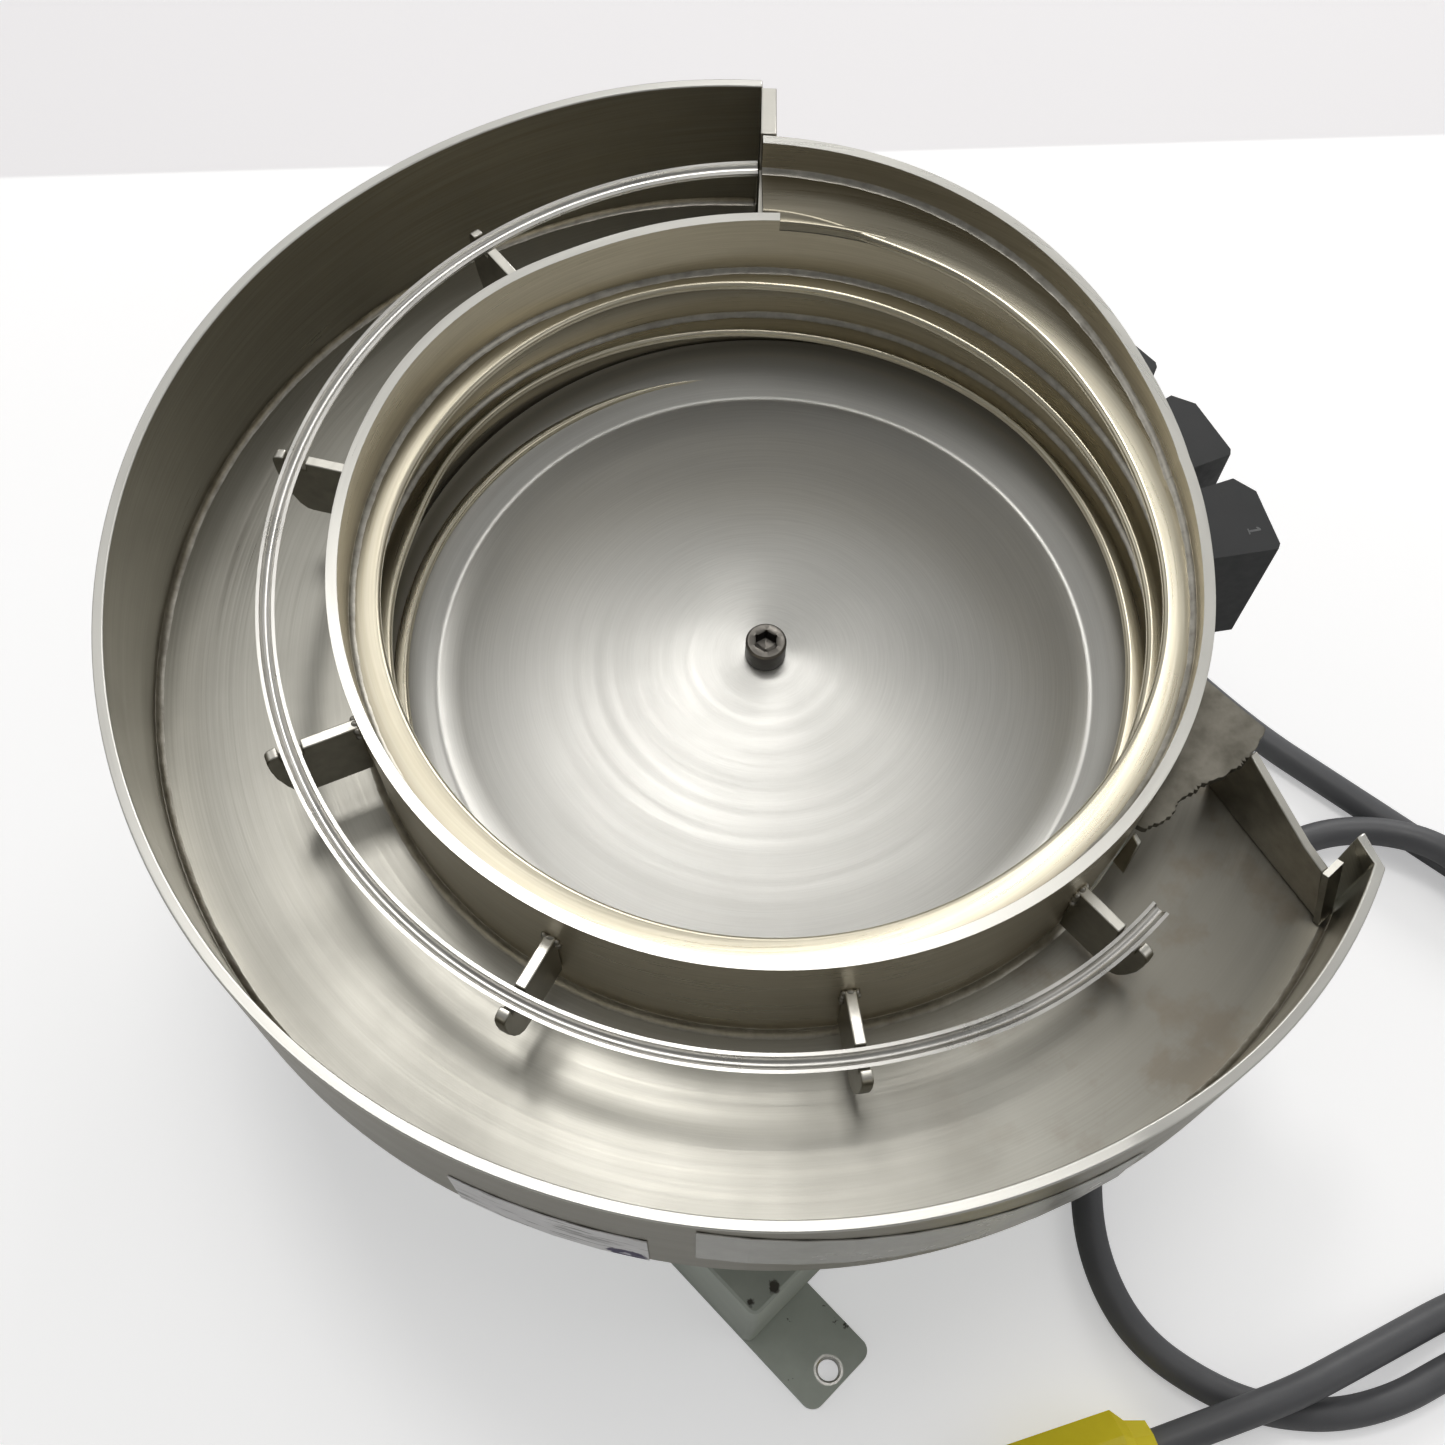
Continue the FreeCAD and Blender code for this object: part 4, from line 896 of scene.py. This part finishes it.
# %% Nuggets
def nuggets(name, points, size, material):
    """Beads on a list of points, made with Geometry Nodes and turned into one plain mesh."""
    mesh = bpy.data.meshes.new(name + "_points")
    mesh.from_pydata([tuple(p) for p in points], [], [])
    holder = link_object(name + "_points", mesh)
    group = bpy.data.node_groups.new(name, "GeometryNodeTree")
    face = group.interface
    face.new_socket(name="Geometry", in_out="INPUT", socket_type="NodeSocketGeometry")
    face.new_socket(name="Geometry", in_out="OUTPUT", socket_type="NodeSocketGeometry")
    bead_size = face.new_socket(name="Bead size", in_out="INPUT", socket_type="NodeSocketFloat")
    size_spread = face.new_socket(name="Size spread", in_out="INPUT", socket_type="NodeSocketFloat")
    add = group.nodes.new
    start, end = add("NodeGroupInput"), add("NodeGroupOutput")
    ball = add("GeometryNodeMeshUVSphere")
    ball.inputs["Segments"].default_value = 20
    ball.inputs["Rings"].default_value = 12
    feed(group, ball.inputs["Radius"], start.outputs["Bead size"])
    shape = add("FunctionNodeRandomValue")
    shape.data_type = "FLOAT_VECTOR"
    feed(group, shape.inputs[0], maths(group, "SUBTRACT", 1.0, start.outputs["Size spread"]))
    feed(group, shape.inputs[1], maths(group, "ADD", 1.0, start.outputs["Size spread"]))
    smooth = add("GeometryNodeSetShadeSmooth")
    feed(group, smooth.inputs[0], ball.outputs["Mesh"])
    copy = add("GeometryNodeInstanceOnPoints")
    feed(group, copy.inputs["Points"], start.outputs["Geometry"])
    feed(group, copy.inputs["Instance"], smooth.outputs[0])
    feed(group, copy.inputs["Scale"], shape.outputs[0])
    real = add("GeometryNodeRealizeInstances")
    feed(group, real.inputs[0], copy.outputs[0])
    coat = add("GeometryNodeSetMaterial")
    coat.inputs["Material"].default_value = material
    feed(group, coat.inputs[0], real.outputs[0])
    feed(group, end.inputs[0], coat.outputs[0])
    mod = holder.modifiers.new("nuggets", "NODES")
    mod.node_group = group
    mod[bead_size.identifier] = size
    mod[size_spread.identifier] = 0.3
    done = evaluated_mesh(holder)
    holder.modifiers.clear()
    bpy.data.objects.remove(holder)
    return link_object(name, done)


# Which side of the tab each bead sits on, and how far below the rail's height.
BEADS = ((-1, 1.0), (1, 1.4), (-1, 3.2), (1, 4.0), (-1, 6.0), (0, 0.4))
bead_points = []
for deg in TAB_AT:
    for side_of, drop in BEADS:
        z = rail_z(deg) - drop
        bead_points.append(polar(wall_r(deg, z) + 0.5, deg, z) + across(deg) * (1.7 * side_of))
put(nuggets("tab_nuggets", bead_points, 0.0011, steel_weld), "bowl")

# %% [markdown]
# ## The cord
# The cord leaves the gland at the back of the base, runs out to the right, loops back under the pan,
# comes out again and ends in a yellow plug near the front. Its route's points become one smooth curve.

# %% Cord
CORD_ROUTE = ((0.07566, 0.06156, 0.014), (0.08362, 0.06986, 0.014), (0.0962, 0.0785, 0.012), (0.1118, 0.082, 0.009),
              (0.127, 0.0792, 0.006), (0.142, 0.0685, 0.005), (0.161, 0.048, 0.005),
              (0.181, 0.029, 0.005), (0.2, 0.015, 0.005), (0.219, 0.001, 0.005),
              (0.24, -0.0145, 0.005), (0.262, -0.0305, 0.005), (0.29, -0.048, 0.005),
              (0.32, -0.062, 0.005), (0.35, -0.071, 0.005), (0.378, -0.076, 0.005),
              (0.405, -0.079, 0.005), (0.428, -0.0852, 0.005), (0.4448, -0.102, 0.005),
              (0.451, -0.125, 0.005), (0.4448, -0.148, 0.005), (0.428, -0.1648, 0.005),
              (0.405, -0.171, 0.005), (0.38, -0.1725, 0.005), (0.35, -0.173, 0.005),
              (0.32, -0.171, 0.005), (0.285, -0.168, 0.005), (0.255, -0.168, 0.005),
              (0.232, -0.173, 0.005), (0.214, -0.182, 0.005), (0.199, -0.19, 0.005),
              (0.181, -0.195, 0.005), (0.164, -0.195, 0.005), (0.15, -0.192, 0.005),
              (0.137, -0.186, 0.005), (0.125, -0.178, 0.005), (0.116, -0.167, 0.005),
              (0.11, -0.152, 0.005), (0.108, -0.136, 0.005), (0.1095, -0.118, 0.005),
              (0.114, -0.0995, 0.0052), (0.1212, -0.0802, 0.0068),
              (0.1307, -0.0616, 0.0085), (0.1438, -0.046, 0.0087),
              (0.1591, -0.032, 0.0084), (0.175, -0.0185, 0.0072), (0.192, -0.008, 0.0066),
              (0.211, -0.0055, 0.0095), (0.229, -0.011, 0.015), (0.241, -0.019, 0.0153),
              (0.254, -0.0315, 0.0142), (0.266, -0.047, 0.008), (0.28, -0.061, 0.005),
              (0.302, -0.075, 0.005), (0.332, -0.0845, 0.005), (0.362, -0.088, 0.005),
              (0.3826, -0.0947, 0.005), (0.3953, -0.1122, 0.005), (0.3953, -0.1338, 0.005),
              (0.3826, -0.1513, 0.005), (0.362, -0.158, 0.005), (0.335, -0.1575, 0.005),
              (0.305, -0.154, 0.005), (0.275, -0.151, 0.005), (0.245, -0.153, 0.005),
              (0.219, -0.163, 0.0055), (0.201, -0.172, 0.0095), (0.183, -0.181, 0.0135),
              (0.166, -0.1895, 0.0153), (0.149, -0.196, 0.0153), (0.134, -0.2015, 0.0138),
              (0.122, -0.206, 0.013))

rubber = bpy.data.materials.new("grey_cord_jacket")
tree, shader = nodes_of(rubber)
place = coords(tree)
fine = noise(tree, place, 900.0, 2.0)
base = tint(tree, spread(tree, noise(tree, place, 30.0, 3.0), 0.0, 1.0), (0.088, 0.09, 0.098), (0.118, 0.12, 0.128))
tree.links.new(base, shader.inputs["Base Color"])
tree.links.new(spread(tree, fine, 0.42, 0.52), shader.inputs["Roughness"])
bump(tree, shader, fine, 0.00004)
curve = bpy.data.curves.new("power_cord", "CURVE")
curve.dimensions = "3D"
curve.bevel_depth = 0.0098 / 2
curve.bevel_resolution = 6
curve.resolution_u = 8
curve.use_fill_caps = True
line = curve.splines.new("NURBS")
line.points.add(len(CORD_ROUTE) - 1)
for point, xyz in zip(line.points, CORD_ROUTE):
    point.co = xyz + (1.0,)
line.order_u = 3
line.use_endpoint_u = True
curve.materials.append(rubber)
cord = link_object("power_cord_line", curve)
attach(cord, "base")
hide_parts("power_cord")

# %% [markdown]
# ## Paint, paper and the pieces kept from the model
# The drive, the weights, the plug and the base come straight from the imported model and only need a
# surface. The paint is chipped, its spots and the bare ring round each foot hole are masks by distance,
# and the label is paper worn to streaks with a blot of ink.

# %% Materials for the pieces kept from the model
HOLES = [m["pos_m"] for m in frame["record"]["mounts"] if m["name"].startswith("foot_hole")]
black_steel = plain_metal("black_oxide", (0.055, 0.052, 0.05), (0.03, 0.028, 0.027), 0.42, 400.0, metallic=0.6)
weight_paint = plain_metal("weight_black", (0.022, 0.024, 0.027), (0.014, 0.015, 0.017), 0.55, 260.0, metallic=0.0)
base_paint = plain_metal("base_paint", (0.47, 0.51, 0.455), (0.40, 0.435, 0.385), 0.5, 120.0, metallic=0.0)
foot_paint = plain_metal("foot_paint", (0.50, 0.54, 0.485), (0.43, 0.465, 0.415), 0.42, 90.0, metallic=0.0)
laminated = plain_metal("laminations", (0.28, 0.28, 0.29), (0.17, 0.17, 0.18), 0.45, 500.0)
spring_blue = plain_metal("spring_steel", (0.26, 0.27, 0.30), (0.18, 0.19, 0.22), 0.32, 300.0)
cast = plain_metal("cast_frame", (0.42, 0.42, 0.41), (0.30, 0.30, 0.29), 0.5, 350.0, metallic=0.8, depth=0.0002)
coil_tape = plain_metal("coil_tape", (0.22, 0.09, 0.03), (0.14, 0.05, 0.02), 0.5, 300.0, metallic=0.0)
gland_black = plain_metal("gland_nylon", (0.03, 0.03, 0.03), (0.02, 0.02, 0.02), 0.4, 200.0, metallic=0.0)
plug_yellow = plain_metal("plug_yellow", (0.86, 0.72, 0.02), (0.78, 0.63, 0.015), 0.38, 60.0, metallic=0.0)
brass = plain_metal("brass_blades", (0.72, 0.55, 0.25), (0.6, 0.44, 0.18), 0.3, 300.0)


def spot_mask(material, centre, inner, outer, wobble=0.0):
    """1 near a point in metres, 0 away from it, with an uneven edge."""
    tree = material.node_tree
    place = coords(tree)
    far = vectors(tree, "DISTANCE", place, centre)
    if wobble:
        shake = maths(tree, "SUBTRACT", noise(tree, place, 500.0, 3.0), 0.5)
        far = maths(tree, "ADD", far, maths(tree, "MULTIPLY", shake, wobble))
    return spread(tree, far, 1.0, 0.0, inner, outer)


def chip_mask(material, scale, a, b):
    """Ragged chips in a coat of paint."""
    tree = material.node_tree
    return spread(tree, noise(tree, coords(tree), scale, 5.0, 0.7), 0.0, 1.0, a, b)


def paint_over(material, mask, colour, metallic=None, rough=None):
    """Change a material's surface where a mask is 1."""
    tree = material.node_tree
    shader = tree.nodes["Principled BSDF"]
    for name, value in (("Base Color", colour), ("Metallic", metallic), ("Roughness", rough)):
        if value is None:
            continue
        slot = shader.inputs[name]
        old = slot.links[0].from_socket if slot.is_linked else slot.default_value
        mix = tint if name == "Base Color" else blend
        tree.links.new(mix(tree, mask, old, value), slot)


label_paper = plain_metal("worn_label", (0.95, 0.94, 0.94), (0.86, 0.85, 0.86), 0.5, 260.0, metallic=0.0)
tree = label_paper.node_tree
streak = tree.nodes.new("ShaderNodeMapping")
streak.inputs["Scale"].default_value = (60.0, 160.0, 420.0)
tree.links.new(coords(tree), streak.inputs[0])
torn = spread(tree, noise(tree, streak.outputs[0], 1.0, 4.0), 0.0, 1.0, 0.56, 0.62)
paint_over(label_paper, torn, (0.40, 0.39, 0.385), 0.3, 0.35)
for deg, z, inner, outer, wobble, colour in ((259.9, 118.5, 0.0046, 0.0054, 0.005, (0.035, 0.02, 0.09)),
                                             (259.8, 118.0, 0.0011, 0.0016, 0.003, (0.62, 0.60, 0.66))):
    blot = tuple(polar(along(PAN_R, deg) + 0.3, deg, z))
    paint_over(label_paper, spot_mask(label_paper, blot, inner, outer, wobble), colour)
tape_clear = plain_metal("cloudy_tape", (0.62, 0.615, 0.58), (0.56, 0.55, 0.51), 0.22, 60.0, metallic=0.0)
for x, y, z in HOLES:
    paint_over(foot_paint, spot_mask(foot_paint, (x, y, 0.003), 0.0044, 0.0047, 0.0006), (0.62, 0.61, 0.58), 1.0, 0.3)
paint_over(foot_paint, chip_mask(foot_paint, 130.0, 0.66, 0.69), (0.07, 0.065, 0.055), 0.0, 0.6)
for at, size in (((0.0076, -0.1723, 0.069), 0.0012), ((0.0012, -0.1764, 0.069), 0.0006)):
    paint_over(base_paint, spot_mask(base_paint, at, size, size + 0.0006, 0.003), (0.06, 0.055, 0.045), 0.0, 0.5)
paint_over(base_paint, chip_mask(base_paint, 110.0, 0.68, 0.71), (0.06, 0.055, 0.045), 0.0, 0.6)
FINISH = ((base_paint, ("base_housing",)), (foot_paint, ("foot_bars",)), (gland_black, ("cord_gland",)),
          (plug_yellow, ("plug_body",)), (brass, ("plug_blades", "plug_ground_pin")),
          (weight_paint, ("balance_weight_1", "balance_weight_2", "balance_weight_3")),
          (black_steel, ("foot_bar_screws", "weight_screws", "armature_screws", "lower_clamp_screws",
                         "upper_clamp_screws", "magnet_screws")),
          (steel_plate, ("weight_seat", "lower_spring_clamps", "upper_spring_clamps", "magnet_bracket",
                         "end_plate_short")),
          (laminated, ("armature", "magnet_core")), (spring_blue, ("leaf_springs",)), (cast, ("top_frame",)),
          (coil_tape, ("magnet_coil",)), (label_paper, ("blank_label",)), (tape_clear, ("clear_tape",)))


def model_piece(name):
    obj = frame["nodes"][name]
    return bpy.data.objects[obj] if isinstance(obj, str) else obj


for material, names in FINISH:
    for name in names:
        materials = model_piece(name).data.materials
        materials.clear()
        materials.append(material)
